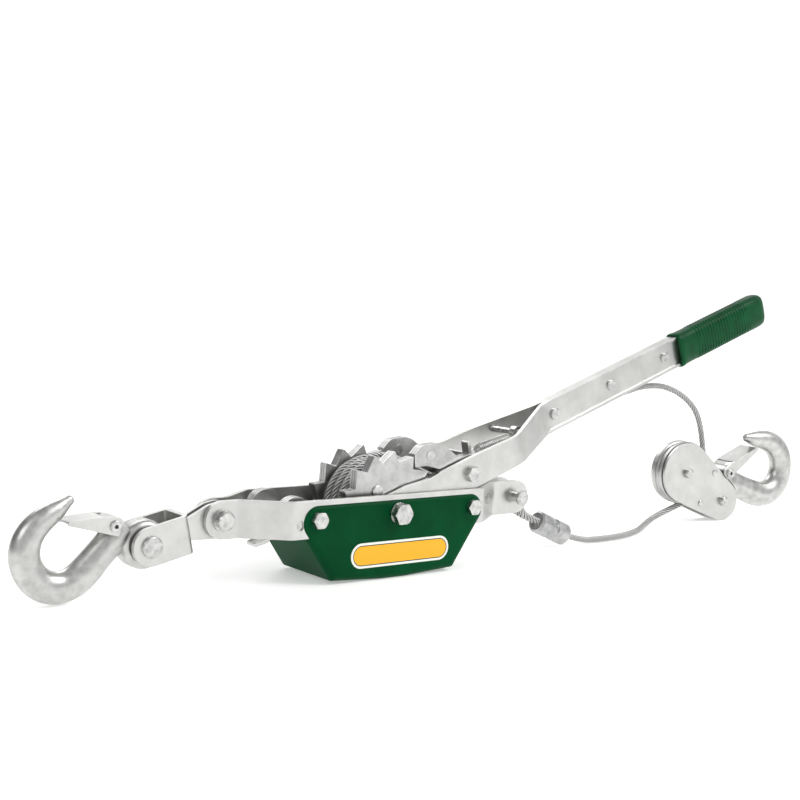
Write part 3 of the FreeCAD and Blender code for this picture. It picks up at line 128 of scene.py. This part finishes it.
def math_node(tree, operation, *values):
    """Output of a sum, product or other function of one or two values."""
    inputs = {"i%d" % k: value for k, value in enumerate(values)}
    return add_node(tree, "ShaderNodeMath", {"operation": operation}, **inputs).outputs[0]


def vector_node(tree, operation, *values):
    """The same of vectors: a node, whose output depends on the operation."""
    inputs = {"i%d" % k: value for k, value in enumerate(values)}
    return add_node(tree, "ShaderNodeVectorMath", {"operation": operation}, **inputs)


def ranged(tree, value, low, high, to_low=0.0, to_high=1.0):
    """Output that runs from `to_low` to `to_high` while the value runs from `low` to `high`."""
    return add_node(tree, "ShaderNodeMapRange", Value=value, i1=low, i2=high, i3=to_low,
                    i4=to_high).outputs[0]


def mixed_colour(tree, factor, shade, tint):
    """Output of a mix from a shade, at factor 0, to a tint, at factor 1."""
    return add_node(tree, "ShaderNodeMix", {"data_type": "RGBA"}, Factor=factor, i6=shade,
                    i7=tint).outputs[2]


def new_material(name, rough=None):
    """A material with its node tree, its shader and the place on the object."""
    material = bpy.data.materials.new(name)
    material.use_nodes = True
    tree = material.node_tree
    shader = tree.nodes["Principled BSDF"]
    if rough is not None:
        shader.inputs["Roughness"].default_value = rough
    return material, tree, shader, add_node(tree, "ShaderNodeTexCoord").outputs["Object"]


def link_object(name, data):
    """An object in the scene, at the origin."""
    made = bpy.data.objects.new(name, data)
    scene.collection.objects.link(made)
    return made


def plain_mesh(holder, name):
    """Mesh of an object with its curve or modifiers worked out; the object goes."""
    bpy.context.view_layer.update()
    seen = holder.evaluated_get(bpy.context.evaluated_depsgraph_get())
    mesh = bpy.data.meshes.new_from_object(seen)
    mesh.name = name
    bpy.data.objects.remove(holder)
    return mesh


def worked_out(tree, base, name, values):
    """Plain mesh that a tree of geometry nodes makes of a base mesh."""
    holder = link_object(name, base)
    modifier = holder.modifiers.new(name, "NODES")
    modifier.node_group = tree
    for item in tree.interface.items_tree:
        if item.in_out == "INPUT" and item.name in values:
            modifier[item.identifier] = values[item.name]
    return plain_mesh(holder, name)


def finish_piece(mesh, name, material, body, replaced=()):
    """A piece at the origin that rides on a body and takes its finish from a slot."""
    mesh.materials.clear()
    mesh.materials.append(material)
    piece = link_object(name, mesh)
    if body:
        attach(piece, body)
    if replaced:
        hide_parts(*replaced)
    return piece


def in_row(x, y, z):
    """Place in the row frame, in metres, of one about the axle in millimetres."""
    return Vector((x * MM, y * MM, (z + AXLE_HEIGHT) * MM))


def handle_matrix():
    """From millimetres along the handle to the row frame."""
    return (Matrix.Translation((0, 0, AXLE_HEIGHT * MM))
            @ Matrix.Rotation(-math.radians(HANDLE_REST), 4, "Y") @ Matrix.Scale(MM, 4))


# Camera
def place_camera():
    """Camera at the photograph's place, looking as it does."""
    lens = bpy.data.cameras.new("camera")
    lens.lens = CAMERA_LENS
    lens.sensor_width = 36.0
    camera = link_object("camera", lens)
    ahead = Vector(CAMERA_AHEAD).normalized()
    right = ahead.cross(Vector(CAMERA_UP)).normalized()
    above = right.cross(ahead)
    turned = Matrix((right, above, -ahead)).transposed().to_4x4()
    camera.matrix_world = Matrix.Translation(CAMERA_AT) @ turned
    scene.camera = camera


place_camera()


# Materials
def metal_finish(name, tint, shade, rough, mottle, grain, depth, edge, stretch=1.0, turn=0.0):
    """Metal: patches `mottle` mm across, grain of `grain` mm and `depth` mm, soft edges.

    A stretch above 1 draws the grain out along X, turned by `turn` degrees, as rolling does.
    """
    material, tree, shader, place = new_material(name)
    laid = add_node(tree, "ShaderNodeMapping", Vector=place,
                    Rotation=(0, math.radians(turn), 0), Scale=(1 / stretch, 1, 1))
    cloud = add_node(tree, "ShaderNodeTexNoise", Vector=place, Scale=1 / (mottle * MM),
                     Detail=5.0, Roughness=0.6).outputs["Fac"]
    colour = mixed_colour(tree, ranged(tree, cloud, 0.36, 0.64), linear(shade), linear(tint))
    tree.links.new(colour, shader.inputs["Base Color"])
    fine = add_node(tree, "ShaderNodeTexNoise", Vector=laid.outputs[0],
                    Scale=1 / (grain * MM), Detail=2.0)
    worn = ranged(tree, cloud, 0.3, 0.7, rough - 0.05, rough + 0.07)
    tree.links.new(worn, shader.inputs["Roughness"])
    soft = add_node(tree, "ShaderNodeBevel", {"samples": 4}, Radius=edge * MM)
    relief = add_node(tree, "ShaderNodeBump", Height=fine.outputs["Fac"], Strength=0.6,
                      Distance=depth * MM, Normal=soft.outputs[0])
    tree.links.new(relief.outputs[0], shader.inputs["Normal"])
    shader.inputs["Metallic"].default_value = 1.0
    return material


def laminated(name, tint, shade, rough, mottle, grain, depth, edge):
    """Metal in three sheets across Y, with a fine dark line where two of them meet."""
    material = metal_finish(name, tint, shade, rough, mottle, grain, depth, edge)
    tree = material.node_tree
    shader = tree.nodes["Principled BSDF"]
    place = add_node(tree, "ShaderNodeTexCoord").outputs["Object"]
    parts = add_node(tree, "ShaderNodeSeparateXYZ", Vector=place)
    across = math_node(tree, "ABSOLUTE", parts.outputs[1])
    middle = (SHEETS_FROM + 1.5 * SHEET_T) * MM
    from_middle = math_node(tree, "ABSOLUTE", math_node(tree, "SUBTRACT", across, middle))
    from_seam = math_node(tree, "ABSOLUTE",
                          math_node(tree, "SUBTRACT", from_middle, SHEET_T / 2 * MM))
    clear = ranged(tree, from_seam, 0.1 * MM, 0.4 * MM, 0.25, 1.0)
    plain = shader.inputs["Base Color"].links[0].from_socket
    lined = mixed_colour(tree, clear, linear("#3C3E40"), plain)
    tree.links.new(lined, shader.inputs["Base Color"])
    return material


def coated(name, tint, shade, rough, mottle, grain, depth, edge, gloss):
    """Paint or plastic with a fine skin."""
    material = metal_finish(name, tint, shade, rough, mottle, grain, depth, edge)
    shader = material.node_tree.nodes["Principled BSDF"]
    shader.inputs["Metallic"].default_value = 0.0
    shader.inputs["IOR"].default_value = 1.5
    shader.inputs["Specular IOR Level"].default_value = gloss
    return material


def rope_finish():
    """Galvanised steel wire: grey, with the wires running along the rope over the strands, and
    painted shade that darkens the valleys between strands and the grooves between wires.
    """
    material, tree, shader, place = new_material("galvanised_wire", rough=0.4)
    shader.inputs["Metallic"].default_value = 1.0
    face = add_node(tree, "ShaderNodeAttribute", {"attribute_name": "rope_face"})
    parts = add_node(tree, "ShaderNodeSeparateXYZ", Vector=face.outputs["Vector"])
    around = math_node(tree, "ARCTAN2", parts.outputs[1], parts.outputs[0])
    wave = math_node(tree, "SINE", math_node(tree, "MULTIPLY", around, float(WIRES_ROUND)))
    wires = ranged(tree, wave, -1.0, 0.4)
    dirt = add_node(tree, "ShaderNodeTexNoise", Vector=place, Scale=1 / (3.0 * MM))
    flat = add_node(tree, "ShaderNodeCombineXYZ", X=parts.outputs[0], Y=parts.outputs[1])
    far = vector_node(tree, "LENGTH", flat.outputs[0]).outputs["Value"]
    # Painted shade: darker towards the rope's middle, in the valleys between the strands
    valley_shade = ranged(tree, far, VALLEY_SHADE_FULL * MM, VALLEY_SHADE_NONE * MM)
    # Painted shade in the grooves between wires, multiplied into the strands' painted shade
    lined = math_node(tree, "MULTIPLY", valley_shade, ranged(tree, wires, 0.0, 1.0, 0.7, 1.0))
    worn = ranged(tree, dirt.outputs["Fac"], 0.3, 0.7, 0.8, 1.0)
    # The dark colour is the painted shade; the pale one is the wire's own colour
    colour = mixed_colour(tree, math_node(tree, "MULTIPLY", lined, worn),
                          linear("#2F3131"), linear("#DEDFDD"))
    tree.links.new(colour, shader.inputs["Base Color"])
    relief = add_node(tree, "ShaderNodeBump", Height=wires, Strength=0.5, Distance=0.12 * MM)
    tree.links.new(relief.outputs[0], shader.inputs["Normal"])
    return material


def label_finish():
    """Printed foil plate: plain yellow field, dark line and pale rim, worked out from its size."""
    material, tree, shader, place = new_material("printed_foil", rough=0.32)
    centre = add_node(tree, "ShaderNodeMapping", Vector=place,
                      Location=(-LABEL_AT[0] * MM, 0, -LABEL_AT[1] * MM))
    parts = add_node(tree, "ShaderNodeSeparateXYZ", Vector=centre.outputs[0])
    wide = math_node(tree, "ABSOLUTE", parts.outputs[0])
    straight = (LABEL_SIZE[0] - LABEL_SIZE[1]) / 2 * MM
    past = math_node(tree, "MAXIMUM", math_node(tree, "SUBTRACT", wide, straight), 0.0)
    away = add_node(tree, "ShaderNodeCombineXYZ", X=past, Z=parts.outputs[2])
    far = vector_node(tree, "LENGTH", away.outputs[0]).outputs["Value"]
    ramp = add_node(tree, "ShaderNodeValToRGB",
                    Fac=math_node(tree, "DIVIDE", far, LABEL_SIZE[1] / 2 * MM))
    bands = ramp.color_ramp
    bands.interpolation = "CONSTANT"
    bands.elements[0].color = linear("#FDB20A")
    bands.elements[1].position = LABEL_BANDS[0]
    bands.elements[1].color = linear("#143D2B")
    bands.elements.new(LABEL_BANDS[1]).color = linear("#EEF2EA")
    tree.links.new(ramp.outputs[0], shader.inputs["Base Color"])
    grain = add_node(tree, "ShaderNodeTexNoise", Vector=place, Scale=1 / (0.9 * MM))
    relief = add_node(tree, "ShaderNodeBump", Height=grain.outputs["Fac"], Strength=0.3,
                      Distance=0.02 * MM)
    tree.links.new(relief.outputs[0], shader.inputs["Normal"])
    return material


# Pressed steel sheet, bright zinc plated: pale, softly patched, with faint rolling marks
zinc_sheet = metal_finish("zinc_plated_sheet", "#D3D3D1", "#C3C3C1", rough=0.33, mottle=16,
                          grain=0.9, depth=0.04, edge=0.5, stretch=6.0)
# The same sheet along the handle
zinc_handle = metal_finish("zinc_plated_handle", "#D1D1CF", "#C0C0BE", rough=0.33, mottle=18,
                           grain=0.9, depth=0.04, edge=0.6, stretch=6.0, turn=HANDLE_REST)
# Blanked and tumbled plate, zinc plated: a touch darker, with a finer grain
zinc_laminated = laminated("zinc_laminated_sheet", "#CBCBCA", "#ABABAA", rough=0.36, mottle=12,
                           grain=0.5, depth=0.03, edge=0.3)
zinc_blank = metal_finish("zinc_plated_blank", "#C8C8C7", "#AEAEAD", rough=0.38, mottle=14,
                          grain=0.5, depth=0.03, edge=0.3)
# Turned and cold headed fasteners, bright zinc
bright_zinc = metal_finish("bright_zinc_fastener", "#D6D6D4", "#A9A9A8", rough=0.27, mottle=4,
                           grain=0.4, depth=0.02, edge=0.3)
# Drop forging, shot blasted and galvanised: soft sheen over a pebbled skin
forging = metal_finish("galvanised_forging", "#CECECC", "#B6B6B4", rough=0.33, mottle=6,
                       grain=1.1, depth=0.1, edge=0.8)
# Pressed aluminium sleeve, dull
alloy = metal_finish("pressed_aluminium", "#C6C6C5", "#A0A1A2", rough=0.36, mottle=6,
                     grain=0.7, depth=0.06, edge=0.6)
# Spring wire, plated: painted light, a paler colour than the other zinc where it sits in shade
# between the handle arms
spring_wire = metal_finish("spring_steel_wire", "#E2E2E0", "#C4C4C2", rough=0.3, mottle=4,
                           grain=0.5, depth=0.01, edge=0.1)
# Powder coat: deep green with a low sheen over a fine orange peel
powder_green = coated("green_powder_coat", "#014826", "#013E20", rough=0.38, mottle=40,
                      grain=1.4, depth=0.04, edge=0.6, gloss=0.05)
# Moulded PVC: dark green, waxy
moulded_pvc = coated("moulded_pvc", "#034D29", "#024021", rough=0.36, mottle=12,
                     grain=0.6, depth=0.03, edge=0.4, gloss=0.14)
wire = rope_finish()
foil = label_finish()

CAD_FINISH = {
    zinc_sheet: ("frame_plate_front", "frame_plate_back", "swivel_bracket", "hook_shackle",
                 "block_plate_front", "block_plate_back", "anchor_latch", "tail_latch",
                 "release_lever", "pawl_link"),
    zinc_handle: ("handle_arm_front", "handle_arm_back"),
    zinc_laminated: ("ratchet_wheel_front", "ratchet_wheel_back", "drive_pawl_front",
                     "drive_pawl_back", "holding_pawl_front", "holding_pawl_back"),
    zinc_blank: ("drum_core", "rope_clamp", "sheave"),
    bright_zinc: ("drum_rivets", "axle_washers", "axle_bolt", "end_nuts", "drum_bush",
                  "cover_bolts", "cover_nuts", "cover_spacers", "frame_bolt", "ear_pin",
                  "ear_pin_ring", "joggle_rivets", "pawl_shaft", "handle_rivets", "cross_bolt",
                  "cross_nut", "cross_sleeve", "spring_eye_pin", "pawl_rivets", "swivel_rivet",
                  "shackle_rivet", "anchor_latch_rivet", "tail_latch_rivet", "sheave_axle",
                  "block_hook_pin", "block_rivets"),
    forging: ("anchor_hook", "tail_hook"),
    alloy: ("ferrule",),
    spring_wire: ("holding_pawl_spring", "anchor_latch_spring", "tail_latch_spring"),
    powder_green: ("cover",),
    foil: ("cover_label",),
}

for finish, names in CAD_FINISH.items():
    for name in names:
        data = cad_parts[name].data
        data.materials.clear()
        data.materials.append(finish)


# Wire rope
def soft_line(name, points):
    """Line of a rope: one smooth spline with the route's points as control points."""
    curve = bpy.data.curves.new(name, "CURVE")
    curve.dimensions = "3D"
    curve.resolution_u = 12
    spline = curve.splines.new("NURBS")
    spline.points.add(len(points) - 1)
    for knot, place in zip(spline.points, points):
        knot.co = (*place, 1.0)
    spline.order_u = 3
    spline.use_endpoint_u = True
    return plain_mesh(link_object(name, curve), name)


def tree_of(name, inputs):
    """A tree of geometry nodes with inputs of given kinds and one mesh out."""
    tree = bpy.data.node_groups.new(name, "GeometryNodeTree")
    for label, kind in inputs:
        tree.interface.new_socket(label, in_out="INPUT", socket_type="NodeSocket" + kind)
    tree.interface.new_socket("Mesh", in_out="OUTPUT", socket_type="NodeSocketGeometry")
    return tree, add_node(tree, "NodeGroupInput").outputs


def close_tree(tree, made, finish):
    """Send what a tree makes out of it, with its finish."""
    coat = add_node(tree, "GeometryNodeSetMaterial", Geometry=made, Material=finish)
    end = add_node(tree, "NodeGroupOutput")
    tree.links.new(coat.outputs[0], end.inputs[0])


def path_frame(tree, given):
    """Copies of the path, one for each strand, that keep the path's own frame at each point.

    The captured node's outputs after the geometry are the middle, side, above and run.
    """
    curve = add_node(tree, "GeometryNodeMeshToCurve", Mesh=given["Path"])
    even = add_node(tree, "GeometryNodeResampleCurve", {"mode": "LENGTH"},
                    Curve=curve.outputs[0], Length=given["Step"])
    copies = add_node(tree, "GeometryNodeDuplicateElements", {"domain": "SPLINE"},
                      Geometry=even.outputs[0], Amount=given["Strands"])
    side = add_node(tree, "GeometryNodeInputNormal").outputs[0]
    along = add_node(tree, "GeometryNodeInputTangent").outputs[0]
    above = vector_node(tree, "CROSS_PRODUCT", along, side).outputs[0]
    run = add_node(tree, "GeometryNodeSplineParameter").outputs["Length"]
    kept = add_node(tree, "GeometryNodeCaptureAttribute")
    for name, kind in (("Middle", "VECTOR"), ("Side", "VECTOR"), ("Above", "VECTOR"),
                       ("Run", "FLOAT")):
        kept.capture_items.new(kind, name)
    middle = add_node(tree, "GeometryNodeInputPosition").outputs[0]
    for socket, value in zip(kept.inputs, (copies.outputs[0], middle, side, above, run)):
        tree.links.new(value, socket)
    share = math_node(tree, "DIVIDE", copies.outputs["Duplicate Index"], given["Strands"])
    turned = math_node(tree, "DIVIDE", run, given["Lay length"])
    angle = math_node(tree, "MULTIPLY", math_node(tree, "ADD", share, turned), 2 * math.pi)
    return kept, side, above, angle


def helix_tree():
    """Strands laid round a path, or with one strand the curls of a spring."""
    tree, given = tree_of("laid_strands", (
        ("Path", "Geometry"), ("Strands", "Int"), ("Strand radius", "Float"),
        ("Lay radius", "Float"), ("Lay length", "Float"), ("Step", "Float"), ("Sides", "Int"),
        ("Finish", "Material")))
    kept, side, above, angle = path_frame(tree, given)
    parts = []
    for kind, direction in (("COSINE", side), ("SINE", above)):
        far = math_node(tree, "MULTIPLY", math_node(tree, kind, angle), given["Lay radius"])
        parts.append(add_node(tree, "ShaderNodeVectorMath", {"operation": "SCALE"},
                              i0=direction, Scale=far).outputs[0])
    laid = add_node(tree, "GeometryNodeSetPosition", Geometry=kept.outputs[0],
                    Offset=vector_node(tree, "ADD", *parts).outputs[0])
    section = add_node(tree, "GeometryNodeCurvePrimitiveCircle", Resolution=given["Sides"],
                       Radius=given["Strand radius"])
    tube = add_node(tree, "GeometryNodeCurveToMesh", Curve=laid.outputs[0],
                    Profile_Curve=section.outputs[0], Fill_Caps=True)
    now = add_node(tree, "GeometryNodeInputPosition").outputs[0]
    out = vector_node(tree, "SUBTRACT", now, kept.outputs[1]).outputs[0]
    seen = [vector_node(tree, "DOT_PRODUCT", out, kept.outputs[k]).outputs["Value"]
            for k in (2, 3)]
    where = add_node(tree, "ShaderNodeCombineXYZ", X=seen[0], Y=seen[1], Z=kept.outputs[4])
    marked = add_node(tree, "GeometryNodeStoreNamedAttribute",
                      {"data_type": "FLOAT_VECTOR", "domain": "POINT"},
                      Geometry=tube.outputs[0], Name="rope_face", Value=where.outputs[0])
    smooth = add_node(tree, "GeometryNodeSetShadeSmooth", Geometry=marked.outputs[0])
    real = add_node(tree, "GeometryNodeRealizeInstances", Geometry=smooth.outputs[0])
    close_tree(tree, real.outputs[0], given["Finish"])
    return tree


strands_tree = helix_tree()


def joined_mesh(first, *others):
    """The first mesh with the others' faces added to it."""
    both = bmesh.new()
    for mesh in (first, *others):
        both.from_mesh(mesh)
    both.to_mesh(first)
    both.free()
    return first


def laid_rope(name, line):
    """Six strands round a slightly thicker core strand, along a line."""
    sizes = {"Strands": STRANDS, "Strand radius": ROPE_D / 6 * MM, "Lay radius": ROPE_D / 3 * MM,
             "Lay length": ROPE_LAY * MM, "Step": ROPE_STEP * MM, "Sides": 8, "Finish": wire}
    strands = worked_out(strands_tree, line.copy(), name, sizes)
    core = dict(sizes, **{"Strands": 1, "Lay radius": 0.0, "Sides": 6,
                          "Strand radius": ROPE_D / 5.4 * MM})
    return joined_mesh(strands, worked_out(strands_tree, line, name + "_core", core))


# Control points of the free rope in metres; the route is the one in the part's source
FREE_ROPE = [
    (0.18546, 0, 0.00901),                                      # out of the ferrule
    (0.204, 0, 0.003), (0.228, -0.0006, 0.0026), (0.254, 0.0014, 0.0026),
    (0.283, 0.012, 0.0026), (0.306, 0.027, 0.0026), (0.322, 0.0364, 0.003),
    (0.337, 0.0413, 0.0062),
    (0.37737, 0.03636, 0.01972), (0.38641, 0.03525, 0.02915),   # round the pulley
    (0.39021, 0.03478, 0.04169),
    (0.3815, 0.0359, 0.0886), (0.364, 0.0362, 0.1066), (0.335, 0.0364, 0.1184),
    (0.306, 0.0362, 0.119), (0.281, 0.036, 0.1132), (0.250, 0.036, 0.1072),
    (0.2095, 0.0363, 0.0961), (0.177, 0.0368, 0.0848), (0.149, 0.0364, 0.0746),
    (0.125, 0.0326, 0.0662), (0.107, 0.0216, 0.0604), (0.090, 0.0122, 0.0583),
    (0.072, 0.0089, 0.0559), (0.052, 0.0089, 0.0618), (0.033, 0.009, 0.0713),
    (0.014, 0.009, 0.0779), (-0.00126, 0.0092, 0.07502)]       # onto the drum

rope_line = soft_line("rope_line", FREE_ROPE)
free_rope = finish_piece(laid_rope("free_rope", rope_line), "free_rope", wire, "frame",
                         ["wire_rope"])


def eye_rope_points():
    """Out of the ferrule, round the ear pin in eighths of a turn, and back beside the first leg."""
    x, z, fall = FERRULE_MOUTH
    out = Vector((-math.cos(math.radians(fall)), 0, math.sin(math.radians(fall))))
    up, side = Vector((out.z, 0, -out.x)), Vector((0, 1, 0))
    mouth, pin = Vector((x, 0, z)), Vector((EAR_PIN_X, 0, 0))
    step, bends, bend_y = 45.0, 6, 1.6
    corner = EYE_R / math.cos(math.radians(step / 2))
    leg = [mouth + out * s - side * EYE_LEG_Y for s in EYE_LEG_POINTS]
    points = list(leg)
    for k in range(bends):
        a = math.radians((bends - 1) / 2 * step - step * k)
        points.append(pin + up * (corner * math.sin(a)) + out * (corner * math.cos(a))
                      + side * (bend_y * (2 * k / (bends - 1) - 1)))
    points += [p + side * 2 * EYE_LEG_Y for p in leg[::-1]]
    return [in_row(*p) for p in points]


eye_line = soft_line("eye_line", eye_rope_points())
finish_piece(laid_rope("eye_rope", eye_line), "eye_rope", wire, "frame",
             ["rope_eye"])


def drum_rope_points():
    """Turns on the drum: straight in, round and along it, straight out to the clamp."""
    start, across = DRUM_START
    count = int(round(DRUM_TURNS * TURN_POINTS))
    step = 360 * DRUM_TURNS / count
    far = DRUM_ROPE_R / math.cos(math.radians(step / 2))

    def at(turned, radius, ahead=0.0):
        a = math.radians(start + turned)
        x = radius * math.cos(a) - ahead * math.sin(a)
        z = radius * math.sin(a) + ahead * math.cos(a)
        return in_row(x, across - DRUM_PITCH * turned / 360, z)

    points = [at(0, DRUM_ROPE_R, -ROPE_D)]
    points += [at(step * (k + 0.5), far) for k in range(count)]
    points.append(at(step * count, DRUM_ROPE_R, ROPE_D))
    return points


drum_line = soft_line("drum_line", drum_rope_points())
finish_piece(laid_rope("drum_rope", drum_line), "drum_rope", wire, "drum",
             ["rope_winding"])


# Pawl spring
def pawl_spring():
    """Close coil with a hook at each end, stretched between the drive pawls and the eye pin on the
    handle, as it stands.
    """
    at_x, at_z, tilt = SPRING_LINE
    along = Vector((math.cos(math.radians(tilt)), 0, math.sin(math.radians(tilt))))
    up = Vector((-along.z, 0, along.x))
    a = math.radians(HANDLE_REST)
    pin = Vector((SPRING_PIN[0] * math.cos(a) - SPRING_PIN[1] * math.sin(a), 0,
                  SPRING_PIN[0] * math.sin(a) + SPRING_PIN[1] * math.cos(a)))
    base = Vector((at_x, 0, at_z))
    first, last = [end - at_x for end in SPRING_COIL]
    pawl_end, pin_end = -SPRING_REACH[0], (pin - base).dot(along) - SPRING_REACH[1]

    def at(s, rise=0.0):
        place = base + along * s + up * rise
        return in_row(place.x, SPRING_Y, place.z)

    middle = bpy.data.meshes.new("spring_middle")
    middle.from_pydata([at(first), at(last)], [(0, 1)], [])
    sizes = {"Strands": 1, "Strand radius": SPRING_WIRE / 2 * MM, "Lay radius": SPRING_R * MM,
             "Lay length": (last - first) / SPRING_TURNS * MM, "Step": 0.09 * MM, "Sides": 8,
             "Finish": spring_wire}
    coil = worked_out(strands_tree, middle, "pawl_spring_coil", sizes)
    straight = dict(sizes, **{"Lay radius": 0.0, "Step": 0.3 * MM})
    hooks = [[at(first + 0.4, SPRING_R), at(first - 1.2, SPRING_R - 0.3), at(first - 2.6, 0.6),
              at(pawl_end, 0)],
             [at(last - 0.4, SPRING_R), at(last + 1.4, SPRING_R - 0.3), at(last + 2.6, 0.6),
              at(pin_end, 0)]]
    ends = [worked_out(strands_tree, soft_line("spring_end", points), "spring_end", straight)
            for points in hooks]
    piece = finish_piece(joined_mesh(coil, *ends), "pawl_spring_coil", spring_wire, None,
                         ["pawl_spring"])
    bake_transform(piece)


pawl_spring()


# Grip
def sleeve_ring(x, half_y, half_z, square, count=48):
    """Ring of a rounded section across the handle: an ellipse at `square` 2, boxier above."""
    ring = []
    for k in range(count):
        a = 2 * math.pi * k / count
        c, s = math.cos(a), math.sin(a)
        ring.append((x, half_y * math.copysign(abs(c) ** (2 / square), c),
                     half_z * math.copysign(abs(s) ** (2 / square), s)))
    return ring


def grip_sleeve():
    """Moulded sleeve: flared mouth, straight body, domed end, with a pocket for the bar."""
    x0, x1 = GRIP_ENDS
    hy, hz = GRIP_HALF
    pocket_end, *pocket_half = BAR_POCKET
    rings = [sleeve_ring(x, *pocket_half, 9) for x in (pocket_end, x0 + 0.6)]
    for x, grow in ((x0, -1.4), (x0 + 0.3, -0.5), (x0 + 1.2, 0.1), (x0 + 3.5, 0.1),
                    (x0 + 6.5, -0.3), (x0 + 12, -0.45), (x1 - 32, -0.45), (x1 - 24, -0.1),
                    (x1 - 9, -0.1), (x1 - 4.5, -0.8), (x1 - 1.6, -2.6), (x1 - 0.4, -4.6),
                    (x1, -6.4)):
        rings.append(sleeve_ring(x, hy + grow, hz + grow, 3.4))
    made = bmesh.new()
    loops = [[made.verts.new(p) for p in ring] for ring in rings]
    count = len(loops[0])
    for one, two in zip(loops, loops[1:]):
        for k in range(count):
            made.faces.new((one[k], one[(k + 1) % count], two[(k + 1) % count], two[k]))
    made.faces.new(loops[0])
    made.faces.new(loops[-1])
    bmesh.ops.recalc_face_normals(made, faces=made.faces)
    for face in made.faces:
        face.smooth = len(face.verts) == 4
    mesh = bpy.data.meshes.new("grip_sleeve")
    made.to_mesh(mesh)
    made.free()
    return mesh


def ribs_tree():
    """Raised bands round a rounded section, spaced along X."""
    tree, given = tree_of("grip_bands", (
        ("Base", "Geometry"), ("Count", "Int"), ("First", "Float"), ("Pitch", "Float"),
        ("Width", "Float"), ("Height", "Float"), ("Corner", "Float"), ("Band radius", "Float"),
        ("Finish", "Material")))
    loop = add_node(tree, "GeometryNodeCurvePrimitiveQuadrilateral", Width=given["Height"],
                    Height=given["Width"])
    rounded = add_node(tree, "GeometryNodeFilletCurve", {"mode": "POLY"}, Curve=loop.outputs[0],
                       Count=7, Radius=given["Corner"])
    section = add_node(tree, "GeometryNodeCurvePrimitiveCircle", Resolution=8,
                       Radius=given["Band radius"])
    band = add_node(tree, "GeometryNodeCurveToMesh", Curve=rounded.outputs[0],
                    Profile_Curve=section.outputs[0])
    start = add_node(tree, "ShaderNodeCombineXYZ", X=given["First"])
    step = add_node(tree, "ShaderNodeCombineXYZ", X=given["Pitch"])
    places = add_node(tree, "GeometryNodeMeshLine", Count=given["Count"],
                      Start_Location=start.outputs[0], Offset=step.outputs[0])
    laid = add_node(tree, "GeometryNodeInstanceOnPoints", Points=places.outputs[0],
                    Instance=band.outputs[0], Rotation=Euler((0, math.pi / 2, 0)))
    smooth = add_node(tree, "GeometryNodeSetShadeSmooth", Geometry=laid.outputs[0])
    real = add_node(tree, "GeometryNodeRealizeInstances", Geometry=smooth.outputs[0])
    close_tree(tree, real.outputs[0], given["Finish"])
    return tree


def grip():
    """Sleeve and its ribs, on the handle's bar."""
    sleeve = grip_sleeve()
    sleeve.transform(handle_matrix())
    finish_piece(sleeve, "grip_sleeve", moulded_pvc, "handle", ["grip"])
    count, first, last = GRIP_RIBS
    hy, hz = GRIP_HALF
    sizes = {"Count": count, "First": first, "Pitch": (last - first) / (count - 1),
             "Width": 2 * (hy - RIB_SINK), "Height": 2 * (hz - RIB_SINK), "Corner": RIB_CORNER,
             "Band radius": RIB_R, "Finish": moulded_pvc}
    bands = worked_out(ribs_tree(), bpy.data.meshes.new("band_base"), "grip_bands", sizes)
    bands.transform(handle_matrix())
    finish_piece(bands, "grip_bands", moulded_pvc, "handle")


grip()


# Floor, lights and surroundings
def sweep_backdrop():
    """White paper: floor in front that bends up into a wall behind, in metres."""
    material, _, shader, _ = new_material("white_paper", rough=0.8)
    shader.inputs["Base Color"].default_value = linear("#F6F6F5")
    shader.inputs["Emission Color"].default_value = (1.0, 1.0, 1.0, 1.0)
    shader.inputs["Emission Strength"].default_value = 0.36
    ahead, side = Vector((0.613, 0.79, 0)), Vector((0.79, -0.613, 0))
    front, bend_from, bend_r, top, half_wide, steps = -4.0, 2.2, 0.8, 3.0, 6.0, 16
    section = [(front, 0.0), (bend_from, 0.0)]
    for k in range(1, steps + 1):
        a = math.pi / 2 * k / steps
        section.append((bend_from + bend_r * math.sin(a), bend_r * (1 - math.cos(a))))
    section.append((bend_from + bend_r, top))
    made = bmesh.new()
    rows = [[made.verts.new(ahead * far + side * wide + Vector((0, 0, high)))
             for wide in (-half_wide, half_wide)] for far, high in section]
    for one, two in zip(rows, rows[1:]):
        made.faces.new((one[0], one[1], two[1], two[0])).smooth = True
    mesh = bpy.data.meshes.new("backdrop")
    made.to_mesh(mesh)
    made.free()
    mesh.materials.append(material)
    link_object("backdrop", mesh)


def softbox(name, place, aim, size, power):
    """Rectangular light at a place, turned towards its aim; metres and watts."""
    light = bpy.data.lights.new(name, "AREA")
    light.shape = "RECTANGLE"
    light.size, light.size_y = size
    light.energy = power
    lamp = link_object(name, light)
    lamp.location = place
    lamp.rotation_euler = (Vector(aim) - Vector(place)).to_track_quat("-Z", "Y").to_euler()


def surroundings():
    """Room for the metal to show: bright to the right of the front, dim to the left and behind."""
    world = bpy.data.worlds.new("studio")
    world.use_nodes = True
    tree = world.node_tree
    ground = tree.nodes["Background"]
    way = add_node(tree, "ShaderNodeTexCoord").outputs["Generated"]
    towards = vector_node(tree, "DOT_PRODUCT", way, (0.6, -0.66, 0.45))
    ramp = add_node(tree, "ShaderNodeValToRGB",
                    Fac=ranged(tree, towards.outputs["Value"], -0.8, 1.0))
    ramp.color_ramp.elements[0].color = (0.16, 0.16, 0.165, 1)
    ramp.color_ramp.elements[1].color = (0.95, 0.95, 0.95, 1)
    tree.links.new(ramp.outputs[0], ground.inputs["Color"])
    ground.inputs["Strength"].default_value = 0.75
    scene.world = world


sweep_backdrop()
softbox("key", (1.0, -1.3, 1.5), aim=(0.1, 0, 0.05), size=(1.0, 0.8), power=20)
softbox("left", (-1.5, -0.7, 1.0), aim=(0.0, 0, 0.05), size=(0.9, 0.7), power=5)
softbox("back", (0.2, 1.4, 1.6), aim=(0.1, 0, 0.05), size=(1.6, 0.7), power=12)
surroundings()
scene.view_settings.view_transform = "Standard"
